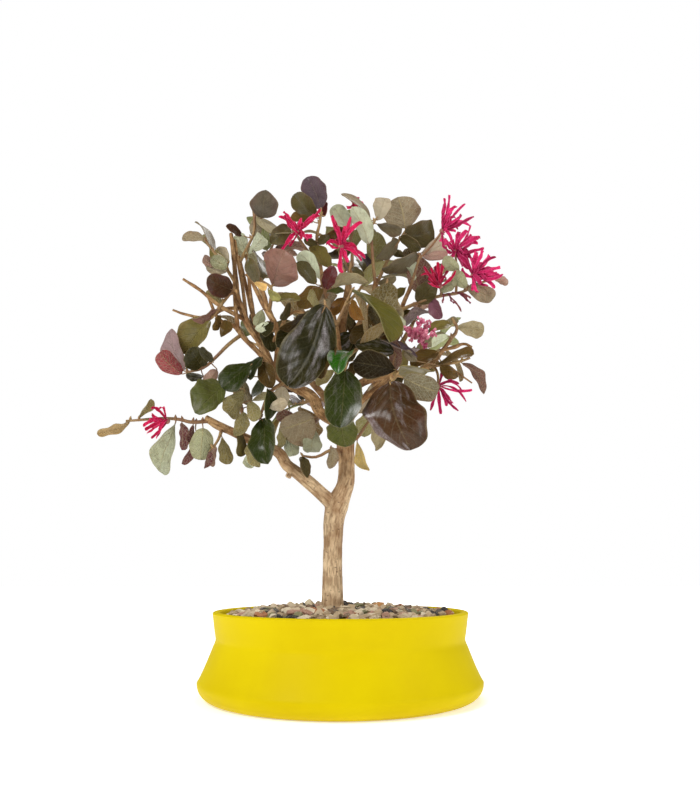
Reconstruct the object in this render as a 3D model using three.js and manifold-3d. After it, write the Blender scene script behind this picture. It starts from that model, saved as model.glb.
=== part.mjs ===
// A loropetalum bonsai in a round yellow pot, in millimetres with +Z up.
// The origin is the middle of the pot's flat underside, and the front of the tree looks along -Y.
import * as THREE from "three";
import { mergeVertices } from "three/addons/utils/BufferGeometryUtils.js";
import Module from "manifold-3d";

const wasm = await Module();
wasm.setup();
const { Manifold, Mesh } = wasm;

// Driving dimensions of the pot and what fills it.
const POT_HEIGHT = 42.1;
const POT_BASE_RADIUS = 73.2;
const POT_BASE_ROUNDING = 8;
const POT_NECK_RADIUS = 64.7;
const POT_NECK_HEIGHT = 28.2;
const POT_RIM_RADIUS = 66.9;
const POT_WALL = 4.2;
const POT_FLOOR = 5;
const POT_LIP = 1;
const POT_BULGE = 0.85;
const POT_SIDES = 36;
const FILL_SIDES = 18;
const SOIL_TOP = 36;
const GRAVEL_EDGE = 39.5;
const GRAVEL_CROWN = 43;
const STONES = 40;
const STONE_LENGTH = [6.2, 8.4];
const STONE_WIDTH = [0.62, 0.85];
const STONE_HEIGHT = [0.34, 0.5];
const STONE_KNOBBLE = [0.78, 1.12];
const STONE_TIP = 0.35;
const STONE_LIFT = [-0.4, 0.6];

// Room left between pieces that touch, and detail too small to keep.
const GAP = 0.3;
const TINY = 0.05;

// Driving dimensions of the plant.
const LEAF_THICKNESS = 0.7;
const STALK_WIDTH = 0.6;
const SUNK = 1.2;
const PLUMPNESS = 0.56;
const WIDEST_EARLY = 0.82;
const ROUNDNESS = 0.72;
const LEAF_ARCH = 0.07;
const LEAF_FOLD = 0.16;
const LARGE_WIDTH = 23;
const LARGE_ROWS = [0.08, 0.3, 0.58, 0.84];
const DRAWN_ROWS = [0.13, 0.45, 0.82];
const GROWN_ROWS = [0.22, 0.68];
const GROWN_LENGTH = [19, 28];
const GROWN_PLUMPNESS = [0.56, 0.68];
const GROWN_LEAN = [0.35, 0.8];
const GROWN_TILT = 0.4;
const GROWN_UP = new THREE.Vector3(0.1, -0.25, 1);
const BARE_SHARE = 0.25;
const STALK_LENGTH = 2.5;
const TWIG_RADII = [1.4, 0.9];
const CROWN_DEPTH = 1.35;
const PETAL_WIDTH = 1.9;
const PETAL_THICKNESS = 0.8;
const PETAL_ROWS = [0, 0.45, 0.9];
const PETAL_FOOT = 0.35;
const CALYX_RADIUS = 2.1;
const BLOOM_STALK_RADII = [0.9, 0.8];

// The tree is drawn as it looks from the front: a place is a pixel across and down in a view of
// 700 by 800, and how far back it lies. The eye stands this far from the trunk, in millimetres.
const EYE = new THREE.Vector3(4.9, -400, 64.7);
const EYE_PITCH = THREE.MathUtils.degToRad(12.9);
const FOCAL_PIXELS = 727.3;
const VIEW_MIDDLE = [350, 400];

const FULL_TURN = 2 * Math.PI;
const GOLDEN_ANGLE = Math.PI * (3 - Math.sqrt(5));

// A small generator of chance numbers, so that every draw can be repeated.
let seed = 20261;
function draw(low = 0, high = 1) {
  seed = (seed * 16807) % 2147483647;
  return low + (high - low) * (seed / 2147483647);
}

// The point that the front view shows at a pixel, at the given depth.
function at([across, down, drawnBack]) {
  const back = CROWN_DEPTH * drawnBack;
  const right = (across - VIEW_MIDDLE[0]) / FOCAL_PIXELS;
  const above = (VIEW_MIDDLE[1] - down) / FOCAL_PIXELS;
  const forward = Math.cos(EYE_PITCH) - above * Math.sin(EYE_PITCH);
  const rise = Math.sin(EYE_PITCH) + above * Math.cos(EYE_PITCH);
  const reach = (back - EYE.y) / forward;
  return new THREE.Vector3(EYE.x + reach * right, back, EYE.z + reach * rise);
}

// The size of one pixel of the front view at a place.
function pixelAt(place) {
  const [across, down, back] = place;
  return at([across + 1, down, back]).distanceTo(at(place));
}

// A closed geometry as a solid: shared corners merged, collapsed faces dropped, faces turned out.
function solidOf(geometry) {
  const bare = new THREE.BufferGeometry().setAttribute("position", geometry.getAttribute("position"));
  if (geometry.index) bare.setIndex(geometry.index);
  const merged = mergeVertices(bare, 1e-4);
  const corners = merged.index.array;
  const kept = [];
  for (let i = 0; i < corners.length; i += 3) {
    const [a, b, c] = corners.slice(i, i + 3);
    if (a !== b && b !== c && c !== a) kept.push(a, b, c);
  }
  const vertProperties = new Float32Array(merged.attributes.position.array);
  const make = (order) =>
    new Manifold(new Mesh({ numProp: 3, vertProperties, triVerts: new Uint32Array(order) }));
  const solid = make(kept);
  return solid.volume() > 0 ? solid : make(kept.reverse());
}

// A closed skin over rings of equal count. It ends flat, or in a point where one is given.
// The far half of each ring is split along the same diagonals as the near half, so that
// a thin waved blade has the same triangles on both faces.
function skin(rings, point = null) {
  const around = rings[0].length;
  const corners = rings.flat();
  const faces = [];
  for (let i = 1; i < around - 1; i++) faces.push(0, i + 1, i);
  for (let i = 0; i < rings.length - 1; i++) {
    for (let j = 0; j < around; j++) {
      const k = (j + 1) % around;
      const [a, b, c, d] = [i * around + j, i * around + k, (i + 1) * around + k, (i + 1) * around + j];
      if (j < around / 2) faces.push(a, b, c, a, c, d);
      else faces.push(a, b, d, b, c, d);
    }
  }
  const last = (rings.length - 1) * around;
  if (point) {
    corners.push(point);
    for (let j = 0; j < around; j++) faces.push(last + j, last + ((j + 1) % around), corners.length - 1);
  } else {
    for (let i = 1; i < around - 1; i++) faces.push(last, last + i, last + i + 1);
  }
  return new THREE.BufferGeometry().setFromPoints(corners).setIndex(faces);
}

// A round stem through points, as thick at each as its radius says.
function stemSolid(points, radii, sides, grow = 0) {
  const rings = [];
  let across = null;
  points.forEach((point, i) => {
    const before = points[Math.max(i - 1, 0)];
    const after = points[Math.min(i + 1, points.length - 1)];
    const arriving = point.clone().sub(before).normalize();
    const leaving = after.clone().sub(point).normalize();
    const along = arriving.add(leaving).normalize();
    if (!across) across = new THREE.Vector3(0, -1, 0.3).cross(along).normalize();
    across = across.clone().addScaledVector(along, -across.dot(along)).normalize();
    const other = along.clone().cross(across);
    const ring = [];
    for (let k = 0; k < sides; k++) {
      const angle = (FULL_TURN * k) / sides;
      const radius = radii[i] + grow;
      ring.push(
        point
          .clone()
          .addScaledVector(across, radius * Math.cos(angle))
          .addScaledVector(other, radius * Math.sin(angle)),
      );
    }
    rings.push(ring);
  });
  return solidOf(skin(rings));
}

// Radii that taper evenly along a stem.
function taper(points, [thick, thin]) {
  return points.map((_, i) => thick + ((thin - thick) * i) / (points.length - 1));
}

// The point of a stem's middle line that is nearest to a place, a little short of the stem's end.
function nearestOn(points, place) {
  const last = points[points.length - 1].clone();
  const before = points[points.length - 2];
  last.add(before.clone().sub(last).setLength(SUNK));
  const line = [...points.slice(0, -1), last];
  let best = line[0];
  for (let i = 0; i < line.length - 1; i++) {
    const close = new THREE.Line3(line[i], line[i + 1]).closestPointToPoint(
      place,
      true,
      new THREE.Vector3(),
    );
    if (close.distanceTo(place) < best.distanceTo(place)) best = close;
  }
  return best;
}

// Half the blade's width along its length, as a share of the whole width.
function outline(t) {
  return 0.5 * Math.pow(Math.sin(Math.PI * Math.pow(t, WIDEST_EARLY)), ROUNDNESS);
}

// A leaf: a short stalk sunk in its twig, then an arched and lightly folded oval blade.
// up is where its upper face looks, and roll turns it about its own midrib.
function leafSolid({ root, base, tip, width, up, roll, grown }, grow = 0) {
  const run = tip.clone().sub(base);
  const length = run.length();
  const along = run.clone().normalize();
  const side = along.clone().cross(up).normalize().applyAxisAngle(along, roll);
  const face = side.clone().cross(along).normalize();
  const large = width > LARGE_WIDTH;
  const rows = large ? LARGE_ROWS : grown ? GROWN_ROWS : DRAWN_ROWS;
  const ring = (middle, half, lift, thickness) => {
    const thick = thickness / 2 + grow;
    const edge = half + grow;
    const place = (x, y) => middle.clone().addScaledVector(side, x).addScaledVector(face, y);
    const upper = [place(-edge, lift + thick), place(edge, lift + thick)];
    const under = [place(edge, lift - thick), place(-edge, lift - thick)];
    if (large) {
      upper.splice(1, 0, place(0, thick));
      under.splice(1, 0, place(0, -thick));
    }
    return [...upper, ...under];
  };
  const rings = [ring(root, STALK_WIDTH / 2, 0, STALK_WIDTH)];
  for (const t of rows) {
    const half = width * outline(t);
    const middle = base
      .clone()
      .addScaledVector(along, length * t)
      .addScaledVector(face, 4 * t * (1 - t) * LEAF_ARCH * length);
    rings.push(ring(middle, half, LEAF_FOLD * half, LEAF_THICKNESS));
  }
  return solidOf(skin(rings, tip.clone().addScaledVector(along, grow)));
}

// A strap petal from the heart of its bloom, bowed upwards, three-sided.
function petalSolid({ start, tip, bow }, grow = 0) {
  const run = tip.clone().sub(start);
  const along = run.clone().normalize();
  const side = along.clone().cross(EYE.clone().sub(start)).normalize();
  const face = side.clone().cross(along).normalize();
  const rings = PETAL_ROWS.map((t) => {
    const middle = start.clone().addScaledVector(run, t);
    middle.z += 4 * t * (1 - t) * bow;
    const half = (PETAL_WIDTH / 2) * (t === 0 ? PETAL_FOOT : 1) + grow;
    const thick = PETAL_THICKNESS / 2 + grow;
    return [
      middle.clone().addScaledVector(side, -half).addScaledVector(face, -thick),
      middle.clone().addScaledVector(side, half).addScaledVector(face, -thick),
      middle.clone().addScaledVector(face, thick),
    ];
  });
  return solidOf(skin(rings, tip.clone().addScaledVector(along, grow)));
}

// A solid of revolution about +Z from its outline, given as radius and height.
function turned(profile, sides) {
  const points = profile.map(([radius, height]) => new THREE.Vector2(radius, height));
  return solidOf(new THREE.LatheGeometry(points, sides).rotateX(Math.PI / 2));
}

// The pot's outer radius at a height above its rounded foot.
function potRadius(height) {
  const foot = POT_BASE_ROUNDING;
  if (height < POT_NECK_HEIGHT) {
    const share = (height - foot) / (POT_NECK_HEIGHT - foot);
    return POT_BASE_RADIUS + (POT_NECK_RADIUS - POT_BASE_RADIUS) * Math.pow(share, POT_BULGE);
  }
  const share = (height - POT_NECK_HEIGHT) / (POT_HEIGHT - POT_NECK_HEIGHT);
  return POT_NECK_RADIUS + (POT_RIM_RADIUS - POT_NECK_RADIUS) * share;
}

// The room inside the pot, from its floor up to a height.
function potRoom(bottom, top, gap) {
  const belly = 1.5 * POT_BASE_ROUNDING;
  const wall = [bottom, belly, POT_NECK_HEIGHT, top].map((height) => {
    const outer = potRadius(Math.max(height, POT_BASE_ROUNDING));
    return [outer - POT_WALL - gap, height];
  });
  return [[0, bottom], ...wall, [0, top]];
}

function pot() {
  const footCentre = POT_BASE_RADIUS - POT_BASE_ROUNDING;
  const foot = [0, Math.PI / 4, Math.PI / 2].map((angle) => [
    footCentre + POT_BASE_ROUNDING * Math.sin(angle),
    POT_BASE_ROUNDING * (1 - Math.cos(angle)),
  ]);
  const lipHeight = POT_HEIGHT - POT_LIP;
  const waist = 0.6 * POT_NECK_HEIGHT;
  const outside = [waist, POT_NECK_HEIGHT, lipHeight].map((height) => [potRadius(height), height]);
  const rim = [
    [POT_RIM_RADIUS - POT_LIP, POT_HEIGHT],
    [POT_RIM_RADIUS - POT_WALL + POT_LIP, POT_HEIGHT],
  ];
  const inside = potRoom(POT_FLOOR, lipHeight, 0).slice(0, -1).reverse();
  return turned([[0, 0], ...foot, ...outside, ...rim, ...inside], POT_SIDES);
}

// Height of the gravel's bed at a distance from the trunk.
function gravelHeight(radius) {
  const share = radius / POT_NECK_RADIUS;
  return GRAVEL_CROWN + (GRAVEL_EDGE - GRAVEL_CROWN) * share * share;
}

// One chip: a twenty-sided stone with its corners pushed in and out, laid nearly flat.
function stone(index) {
  const outermost = POT_NECK_RADIUS - POT_WALL - STONE_WIDTH[0] * STONE_LENGTH[0];
  const radius = outermost * Math.sqrt((index + 0.5) / STONES);
  const angle = index * GOLDEN_ANGLE;
  const length = draw(...STONE_LENGTH);
  const ball = new THREE.IcosahedronGeometry(1, 0).getAttribute("position");
  const shape = mergeVertices(new THREE.BufferGeometry().setAttribute("position", ball), 1e-3);
  const corners = shape.getAttribute("position");
  for (let i = 0; i < corners.count; i++) {
    const corner = new THREE.Vector3().fromBufferAttribute(corners, i);
    corners.setXYZ(i, ...corner.multiplyScalar(draw(...STONE_KNOBBLE)));
  }
  shape.scale(length, length * draw(...STONE_WIDTH), length * draw(...STONE_HEIGHT));
  shape.rotateX(draw(-STONE_TIP, STONE_TIP));
  shape.rotateY(draw(-STONE_TIP, STONE_TIP));
  shape.rotateZ(draw(0, FULL_TURN));
  const height = gravelHeight(radius) + draw(...STONE_LIFT);
  shape.translate(radius * Math.cos(angle), radius * Math.sin(angle), height);
  return solidOf(shape);
}

// The grown wood: each limb as places in the front view with a radius, [across, down, back, radius].
const LIMBS = {
  trunk: [
    [332.5, 632, 0, 7.2],
    [332.5, 612, 0, 6.3],
    [332.5, 583, 0, 5.4],
    [333, 545, 0, 5.1],
    [334, 519, 0, 5.7],
    [337, 506, 0, 6.3],
    [342, 494, 1, 5.3],
    [345.5, 484, 1, 4.8],
    [346.5, 466, 2, 4.6],
    [345.5, 443, 2, 4.9],
    [345, 415, 3, 4.3],
    [341, 385, 4, 3.6],
    [340, 345, 6, 2.9],
    [346, 300, 8, 2.1],
    [352, 262, 8, 1.4],
  ],
  low_left: [
    [338, 512, 0, 3.4],
    [326, 498, -2, 3.8],
    [313, 486, -4, 3.7],
    [296, 472, -6, 3.4],
    [287, 465, -7, 3.2],
    [279, 453, -8, 3],
    [264, 446, -9, 2.7],
    [250, 440, -10, 2.6],
    [235, 433, -11, 2.4],
    [220, 426, -12, 2.2],
    [205, 418, -13, 2],
  ],
  low_left_knob: [
    [292, 470, -6, 1.8],
    [288, 477, -7, 1.6],
  ],
  upper_left: [
    [344, 427, 2, 3],
    [333, 421, 0, 3],
    [320, 412, -4, 2.9],
    [312, 397, -7, 3.2],
    [290, 385, -10, 2.6],
    [275, 372, -12, 2.5],
    [262, 345, -12, 2.1],
    [250, 328, -11, 1.9],
    [239, 302, -9, 1.7],
    [236, 282, -8, 1.5],
    [234, 260, -8, 1.4],
    [231, 233, -8, 1.2],
  ],
  fan_parallel: [
    [278, 375, -12, 1.7],
    [258, 352, -16, 1.4],
    [243, 337, -17, 1.3],
    [235, 327, -15, 1.2],
    [221, 321, -15, 1.1],
    [208, 297, -15, 0.8],
  ],
  fan_inner: [
    [262, 345, -12, 1.5],
    [252, 312, -5, 1.2],
    [247, 290, -3, 1.1],
    [239, 256, -2, 0.9],
  ],
  fan_outer: [
    [276, 374, -12, 1.7],
    [276, 326, -17, 1.4],
    [268, 310, -18, 1.3],
    [262, 290, -19, 1.1],
    [246, 274, -20, 0.8],
  ],
  bare_high: [
    [246, 320, -10, 1.3],
    [217, 304, -19, 1.1],
    [200, 290, -20, 0.9],
    [183, 279, -21, 0.7],
  ],
  bare_low: [
    [243, 309, -10, 1.2],
    [225, 309, -12, 1],
    [208, 317, -10, 0.9],
    [184, 314, -8, 0.8],
    [173, 310, -7, 0.6],
  ],
  bare_inner: [
    [272, 345, -15, 1.2],
    [280, 329, -16, 1],
    [292, 313, -14, 0.9],
    [308, 313, -12, 0.7],
  ],
  bare_cross: [
    [259, 339, -12, 1.2],
    [270, 330, -10, 1],
    [285, 334, -9, 0.8],
  ],
  centre_left: [
    [340, 348, 6, 2.1],
    [331, 310, 2, 1.8],
    [322, 278, -2, 1.5],
    [318, 248, -4, 1.1],
  ],
  centre_right: [
    [341, 374, 5, 2.1],
    [357, 330, 4, 1.8],
    [372, 300, 2, 1.5],
    [376, 278, 0, 1.2],
  ],
  right: [
    [345, 408, 3, 2.9],
    [355, 388, 0, 2.5],
    [375, 378, -4, 2.2],
    [396, 374, -6, 2.2],
    [428, 367, -8, 1.6],
    [443, 350, -8, 1.3],
    [453, 336, -9, 1.1],
  ],
  right_up: [
    [394, 375, -6, 1.8],
    [392, 350, -2, 1.7],
    [401, 310, 4, 1.4],
    [412, 284, 3, 1.1],
  ],
  front: [
    [345, 430, 0, 2.6],
    [352, 408, -14, 2.3],
    [346, 385, -25, 2],
    [339, 352, -33, 1.7],
    [336, 322, -36, 1.4],
  ],
  front_right: [
    [351, 411, -12, 1.9],
    [366, 397, -22, 1.7],
    [383, 383, -31, 1.5],
    [396, 371, -36, 1.2],
  ],
  back_left: [
    [345, 434, 2, 2.7],
    [328, 402, 13, 2.3],
    [302, 370, 21, 2],
    [280, 335, 26, 1.6],
    [268, 306, 28, 1.3],
  ],
  back_middle: [
    [343, 400, 4, 2.5],
    [342, 362, 15, 2.2],
    [345, 322, 22, 1.8],
    [350, 285, 26, 1.4],
  ],
  back_right: [
    [345, 424, 2, 2.7],
    [368, 394, 14, 2.2],
    [392, 360, 22, 1.8],
    [412, 325, 27, 1.4],
  ],
};

// A drawn leaf: where its blade starts, where its tip is, how wide it looks in the front view, and
// which face it shows. A leaf that looks narrow is one that is turned partly edge on.
const TOP = 1;
const BACK = -1;
const leaf = (from, to, wide, shows) => ({ from, to, wide, shows });

// The leafy shoots whose leaves the front view shows. Each starts inside the limb that carries it.
const SHOOTS = {
  shoot_low_left_tip: {
    stem: [
      [211, 421, -13],
      [190, 422, -15],
      [180, 419.5, -15],
      [160, 418.5, -16],
      [140, 420, -17],
      [126, 421, -17],
    ],
    leaves: [
      leaf([130, 421, -17], [97, 434, -21], 9, TOP),
      leaf([139, 418, -17], [151, 399, -21], 8, TOP),
      leaf([175, 424, -16], [162, 471, -25], 21, BACK),
      leaf([182, 423, -15], [182, 450, -8], 10, BACK),
      leaf([193, 425, -15], [193, 447, -11], 7, BACK),
      leaf([196, 434, -9], [182, 464, -4], 8, BACK),
      leaf([203, 428, -16], [200, 460, -23], 24, BACK),
    ],
  },
  shoot_low_left_hang: {
    stem: [
      [222, 428, -12],
      [219, 438, -15],
      [213, 448, -17],
    ],
    leaves: [
      leaf([216, 447, -17], [213, 467, -14], 8, BACK),
      leaf([209, 452, -18], [205, 468, -22], 7, BACK),
      leaf([222, 437, -13], [230, 464, -9], 8, BACK),
    ],
  },
  shoot_left_middle: {
    stem: [
      [240, 436, -11],
      [243, 420, -17],
      [240, 405, -20],
      [234, 391, -22],
      [238, 376, -24],
    ],
    leaves: [
      leaf([240, 430, -14], [238, 456, -5], 10, TOP),
      leaf([243, 412, -19], [236, 436, -24], 14, BACK),
      leaf([245, 390, -22], [228, 414, -31], 21, BACK),
      leaf([250, 406, -17], [244, 381, -11], 15, BACK),
      leaf([224, 386, -26], [195, 413, -33], 27, TOP),
      leaf([252, 364, -25], [222, 388, -32], 26, TOP),
      leaf([262, 378, -20], [252, 397, -14], 10, TOP),
    ],
  },
  shoot_left_drop: {
    stem: [
      [287, 383, -10],
      [276, 387, -17],
      [268, 396, -19],
      [263, 408, -20],
      [260, 418, -21],
    ],
    leaves: [
      leaf([269, 390, -20], [266, 420, -26], 9, TOP),
      leaf([262, 419, -21], [268, 464, -30], 27, TOP),
      leaf([256, 436, -14], [257, 467, -7], 15, BACK),
      leaf([281, 386, -14], [278, 412, -9], 16, BACK),
    ],
  },
  shoot_under_middle: {
    stem: [
      [320, 413, -4],
      [316, 422, 5],
      [304, 431, 9],
      [290, 436, 9],
    ],
    leaves: [
      leaf([314, 418, -3], [280, 430, -12], 30, BACK),
      leaf([288, 436, 9], [293, 456, 5], 15, BACK),
      leaf([312, 427, 6], [310, 452, -2], 19, BACK),
    ],
  },
  shoot_stem_left: {
    stem: [
      [343, 452, 1],
      [331, 450, -7],
      [316, 457, -8],
      [303, 456, -7],
    ],
    leaves: [
      leaf([302, 457, -7], [307, 478, -11], 10, TOP),
      leaf([331, 447, -8], [332, 468, -13], 12, BACK),
    ],
  },
  shoot_stem_front: {
    stem: [
      [345, 421, 2],
      [341, 417, -9],
      [341, 413, -16],
    ],
    leaves: [leaf([341, 419, -16], [345, 447, -21], 26, TOP)],
  },
  shoot_stem_right: {
    stem: [
      [346, 442, 2],
      [357, 438, -4],
      [364, 428, -8],
      [371, 418, -10],
    ],
    leaves: [
      leaf([357, 442, -5], [367, 470, -10], 10, BACK),
      leaf([373, 417, -11], [378, 450, -16], 16, BACK),
    ],
  },
  shoot_far_left: {
    stem: [
      [241, 335, -16],
      [228, 345, -21],
      [215, 358, -22],
      [203, 368, -22],
      [188, 372, -22],
    ],
    leaves: [
      leaf([184, 371, -22], [170, 330, -20], 18, TOP),
      leaf([182, 374, -22], [160, 352, -28], 14, BACK),
      leaf([203, 368, -22], [190, 348, -28], 20, TOP),
      leaf([217, 370, -21], [205, 384, -24], 12, BACK),
      leaf([203, 377, -22], [186, 374, -26], 8, TOP),
    ],
  },
  shoot_left_tip: {
    stem: [
      [236, 284, -8],
      [228, 271, -13],
      [219, 259, -15],
      [212, 249, -16],
      [206, 241, -17],
    ],
    leaves: [
      leaf([205, 240, -17], [182, 238, -21], 10, BACK),
      leaf([213, 251, -16], [195, 222, -13], 8, TOP),
      leaf([228, 266, -13], [216, 249, -8], 11, BACK),
      leaf([217, 268, -16], [204, 256, -22], 10, BACK),
      leaf([229, 262, -14], [211, 236, -5], 8, TOP),
    ],
  },
  shoot_left_low: {
    stem: [
      [239, 300, -9],
      [232, 293, -14],
      [225, 300, -15],
      [219, 309, -24],
      [212, 318, -25],
    ],
    leaves: [
      leaf([232, 290, -15], [207, 278, -24], 23, TOP),
      leaf([222, 303, -16], [209, 290, -12], 9, BACK),
      leaf([218, 310, -25], [192, 319, -30], 9, TOP),
      leaf([210, 320, -25], [184, 354, -34], 25, TOP),
    ],
  },
  shoot_top_left: {
    stem: [
      [240, 262, -2],
      [247, 248, -6],
      [254, 232, -6],
      [254, 216, -6],
      [252, 204, -6],
    ],
    leaves: [
      leaf([246, 255, -6], [237, 234, -12], 14, BACK),
      leaf([248, 254, -7], [263, 236, -14], 15, BACK),
      leaf([262, 218, -7], [266, 190, -12], 28, TOP),
      leaf([258, 219, -5], [254, 236, 0], 13, BACK),
      leaf([257, 216, -7], [295, 232, -15], 9, BACK),
      leaf([242, 235, -6], [226, 226, -12], 8, TOP),
    ],
  },
  shoot_inner_left: {
    stem: [
      [320, 266, -3],
      [306, 249, -9],
      [296, 234, -11],
      [289, 224, -12],
    ],
    leaves: [leaf([289, 226, -12], [270, 243, -5], 19, TOP)],
  },
  shoot_middle_left: {
    stem: [
      [269, 312, -18],
      [271, 299, -23],
      [271, 288, -25],
      [262, 281, -25],
    ],
    leaves: [
      leaf([273, 286, -25], [285, 250, -32], 33, TOP),
      leaf([260, 281, -24], [257, 255, -15], 12, TOP),
      leaf([256, 282, -26], [264, 291, -30], 8, TOP),
      leaf([268, 289, -25], [281, 298, -29], 8, TOP),
      leaf([272, 300, -23], [300, 300, -28], 9, TOP),
    ],
  },
  shoot_top_middle_left: {
    stem: [
      [318, 252, -4],
      [317, 236, -8],
      [320, 222, -9],
      [321, 210, -9],
    ],
    leaves: [
      leaf([316, 218, -9], [293, 195, -15], 20, TOP),
      leaf([321, 209, -9], [307, 177, -14], 24, TOP),
      leaf([325, 216, -8], [324, 203, -3], 9, TOP),
      leaf([312, 221, -10], [290, 222, -17], 9, TOP),
    ],
  },
  shoot_centre_left: {
    stem: [
      [330, 308, 2],
      [326, 297, -9],
      [323, 286, -14],
      [322, 277, -14],
    ],
    leaves: [
      leaf([320, 279, -14], [300, 252, -21], 17, BACK),
      leaf([330, 268, -13], [311, 247, -10], 14, TOP),
      leaf([325, 289, -15], [334, 266, -22], 14, TOP),
      leaf([319, 287, -14], [299, 308, -20], 18, TOP),
      leaf([328, 298, -9], [321, 312, -4], 12, BACK),
      leaf([332, 288, -12], [369, 283, -18], 12, BACK),
    ],
  },
  shoot_top_middle: {
    stem: [
      [375, 282, 0],
      [373, 262, -1],
      [372, 245, -3],
      [371, 228, -3],
      [376, 219, -3],
    ],
    leaves: [
      leaf([369, 244, -4], [352, 207, -10], 18, BACK),
      leaf([370, 219, -3], [341, 194, -7], 6, TOP),
      leaf([378, 220, -3], [385, 198, 1], 18, TOP),
      leaf([377, 224, -4], [402, 229, -10], 12, TOP),
    ],
  },
  shoot_crown_tip: {
    stem: [
      [352, 266, 8],
      [352, 248, 6],
      [350, 233, 4],
    ],
    leaves: [leaf([349, 231, 4], [333, 206, 0], 19, BACK)],
  },
  shoot_top_right: {
    stem: [
      [375, 288, 1],
      [384, 268, 7],
      [393, 250, 9],
      [402, 236, 9],
      [406, 230, 9],
    ],
    leaves: [
      leaf([405, 228, 9], [398, 197, 5], 38, BACK),
      leaf([405, 234, 9], [433, 226, 13], 25, TOP),
      leaf([398, 242, 9], [376, 258, 4], 14, TOP),
    ],
  },
  shoot_right_top: {
    stem: [
      [410, 290, 3],
      [415, 272, -1],
      [420, 256, -3],
    ],
    leaves: [
      leaf([417, 254, -3], [382, 270, -9], 14, TOP),
      leaf([421, 253, -3], [446, 241, -8], 11, BACK),
      leaf([422, 256, -3], [447, 252, -11], 9, BACK),
      leaf([414, 281, 0], [416, 262, 6], 11, BACK),
    ],
  },
  shoot_right_upper: {
    stem: [
      [401, 310, 4],
      [420, 302, -4],
      [440, 296, -7],
      [462, 292, -8],
      [478, 284, -9],
      [492, 279, -10],
    ],
    leaves: [
      leaf([418, 303, -4], [437, 279, -11], 20, TOP),
      leaf([432, 299, -6], [442, 318, -10], 11, TOP),
      leaf([468, 287, -9], [493, 299, -14], 17, BACK),
      leaf([494, 279, -10], [508, 284, -12], 8, BACK),
    ],
  },
  shoot_middle_right: {
    stem: [
      [373, 298, 2],
      [380, 290, -9],
      [387, 283, -13],
    ],
    leaves: [
      leaf([387, 284, -13], [395, 322, -19], 19, BACK),
      leaf([392, 300, -10], [399, 331, -7], 12, BACK),
    ],
  },
  shoot_right_middle: {
    stem: [
      [450, 340, -9],
      [457, 329, -11],
      [452, 318, -12],
    ],
    leaves: [
      leaf([456, 327, -11], [484, 331, -16], 15, BACK),
      leaf([453, 326, -12], [430, 331, -18], 9, TOP),
      leaf([449, 336, -10], [432, 344, -6], 9, BACK),
    ],
  },
  shoot_right_low: {
    stem: [
      [428, 367, -8],
      [445, 364, -13],
      [458, 362, -14],
      [470, 358, -14],
    ],
    leaves: [
      leaf([437, 365, -13], [474, 354, -22], 9, TOP),
      leaf([462, 363, -14], [484, 394, -11], 10, BACK),
      leaf([431, 369, -11], [401, 366, -20], 11, BACK),
    ],
  },
  shoot_front_left: {
    stem: [
      [337, 326, -35],
      [330, 313, -42],
      [325, 304, -46],
    ],
    leaves: [leaf([325, 306, -46], [288, 387, -52], 60, TOP)],
  },
  shoot_front_up: {
    stem: [
      [337, 324, -35],
      [346, 304, -35],
      [352, 290, -34],
    ],
    leaves: [leaf([353, 291, -34], [390, 342, -44], 18, TOP)],
  },
  shoot_front_middle: {
    stem: [
      [340, 356, -33],
      [343, 360, -39],
      [346, 367, -43],
    ],
    leaves: [
      leaf([345, 370, -44], [340, 428, -48], 38, TOP),
      leaf([350, 352, -40], [338, 374, -50], 20, TOP),
    ],
  },
  shoot_front_right: {
    stem: [
      [393, 373, -35],
      [396, 376, -40],
      [392, 381, -44],
    ],
    leaves: [
      leaf([390, 382, -45], [411, 450, -50], 62, TOP),
      leaf([396, 370, -38], [353, 362, -44], 33, TOP),
      leaf([404, 378, -40], [438, 392, -46], 26, BACK),
    ],
  },
};

// Shoots that fill the crown out to its back, where the front view shows little of them.
// Their leaves are grown by a rule: stem, and how many leaves it carries.
const GROWN = {
  grown_back_left_up: { stem: [[268, 308, 28], [259, 285, 31], [264, 262, 32], [274, 243, 31]], count: 8 },
  grown_back_left_side: { stem: [[292, 354, 23], [270, 349, 30], [252, 343, 34], [240, 336, 36]], count: 7 },
  grown_back_middle_up: { stem: [[350, 288, 26], [342, 264, 30], [337, 240, 31]], count: 8 },
  grown_back_middle_right: { stem: [[347, 304, 24], [366, 282, 30], [384, 258, 32]], count: 8 },
  grown_back_right_up: { stem: [[411, 328, 27], [421, 300, 31], [424, 274, 31]], count: 8 },
  grown_back_right_side: { stem: [[396, 354, 23], [420, 348, 29], [442, 344, 33]], count: 7 },
  grown_back_right_low: { stem: [[368, 394, 14], [380, 400, 24], [394, 408, 32]], count: 6 },
  grown_back_left_low: { stem: [[326, 400, 14], [306, 402, 24], [290, 408, 32]], count: 7 },
  grown_inner_left: { stem: [[340, 348, 6], [325, 336, 12], [310, 326, 14], [296, 320, 15]], count: 7 },
  grown_inner_right: { stem: [[345, 308, 8], [362, 316, 13], [382, 324, 15], [402, 334, 16]], count: 7 },
  grown_front_fill: { stem: [[341, 362, -31], [362, 345, -25], [380, 332, -24]], count: 6 },
  grown_right_fill: { stem: [[426, 368, -8], [422, 350, 4], [418, 334, 9]], count: 5 },
};

// Leaves that the rule would set where the front view sees through the crown, by their number.
const LEFT_OPEN = {
  grown_back_left_side: [1, 3, 6],
  grown_back_right_side: [2],
  grown_right_fill: [2],
};

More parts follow.
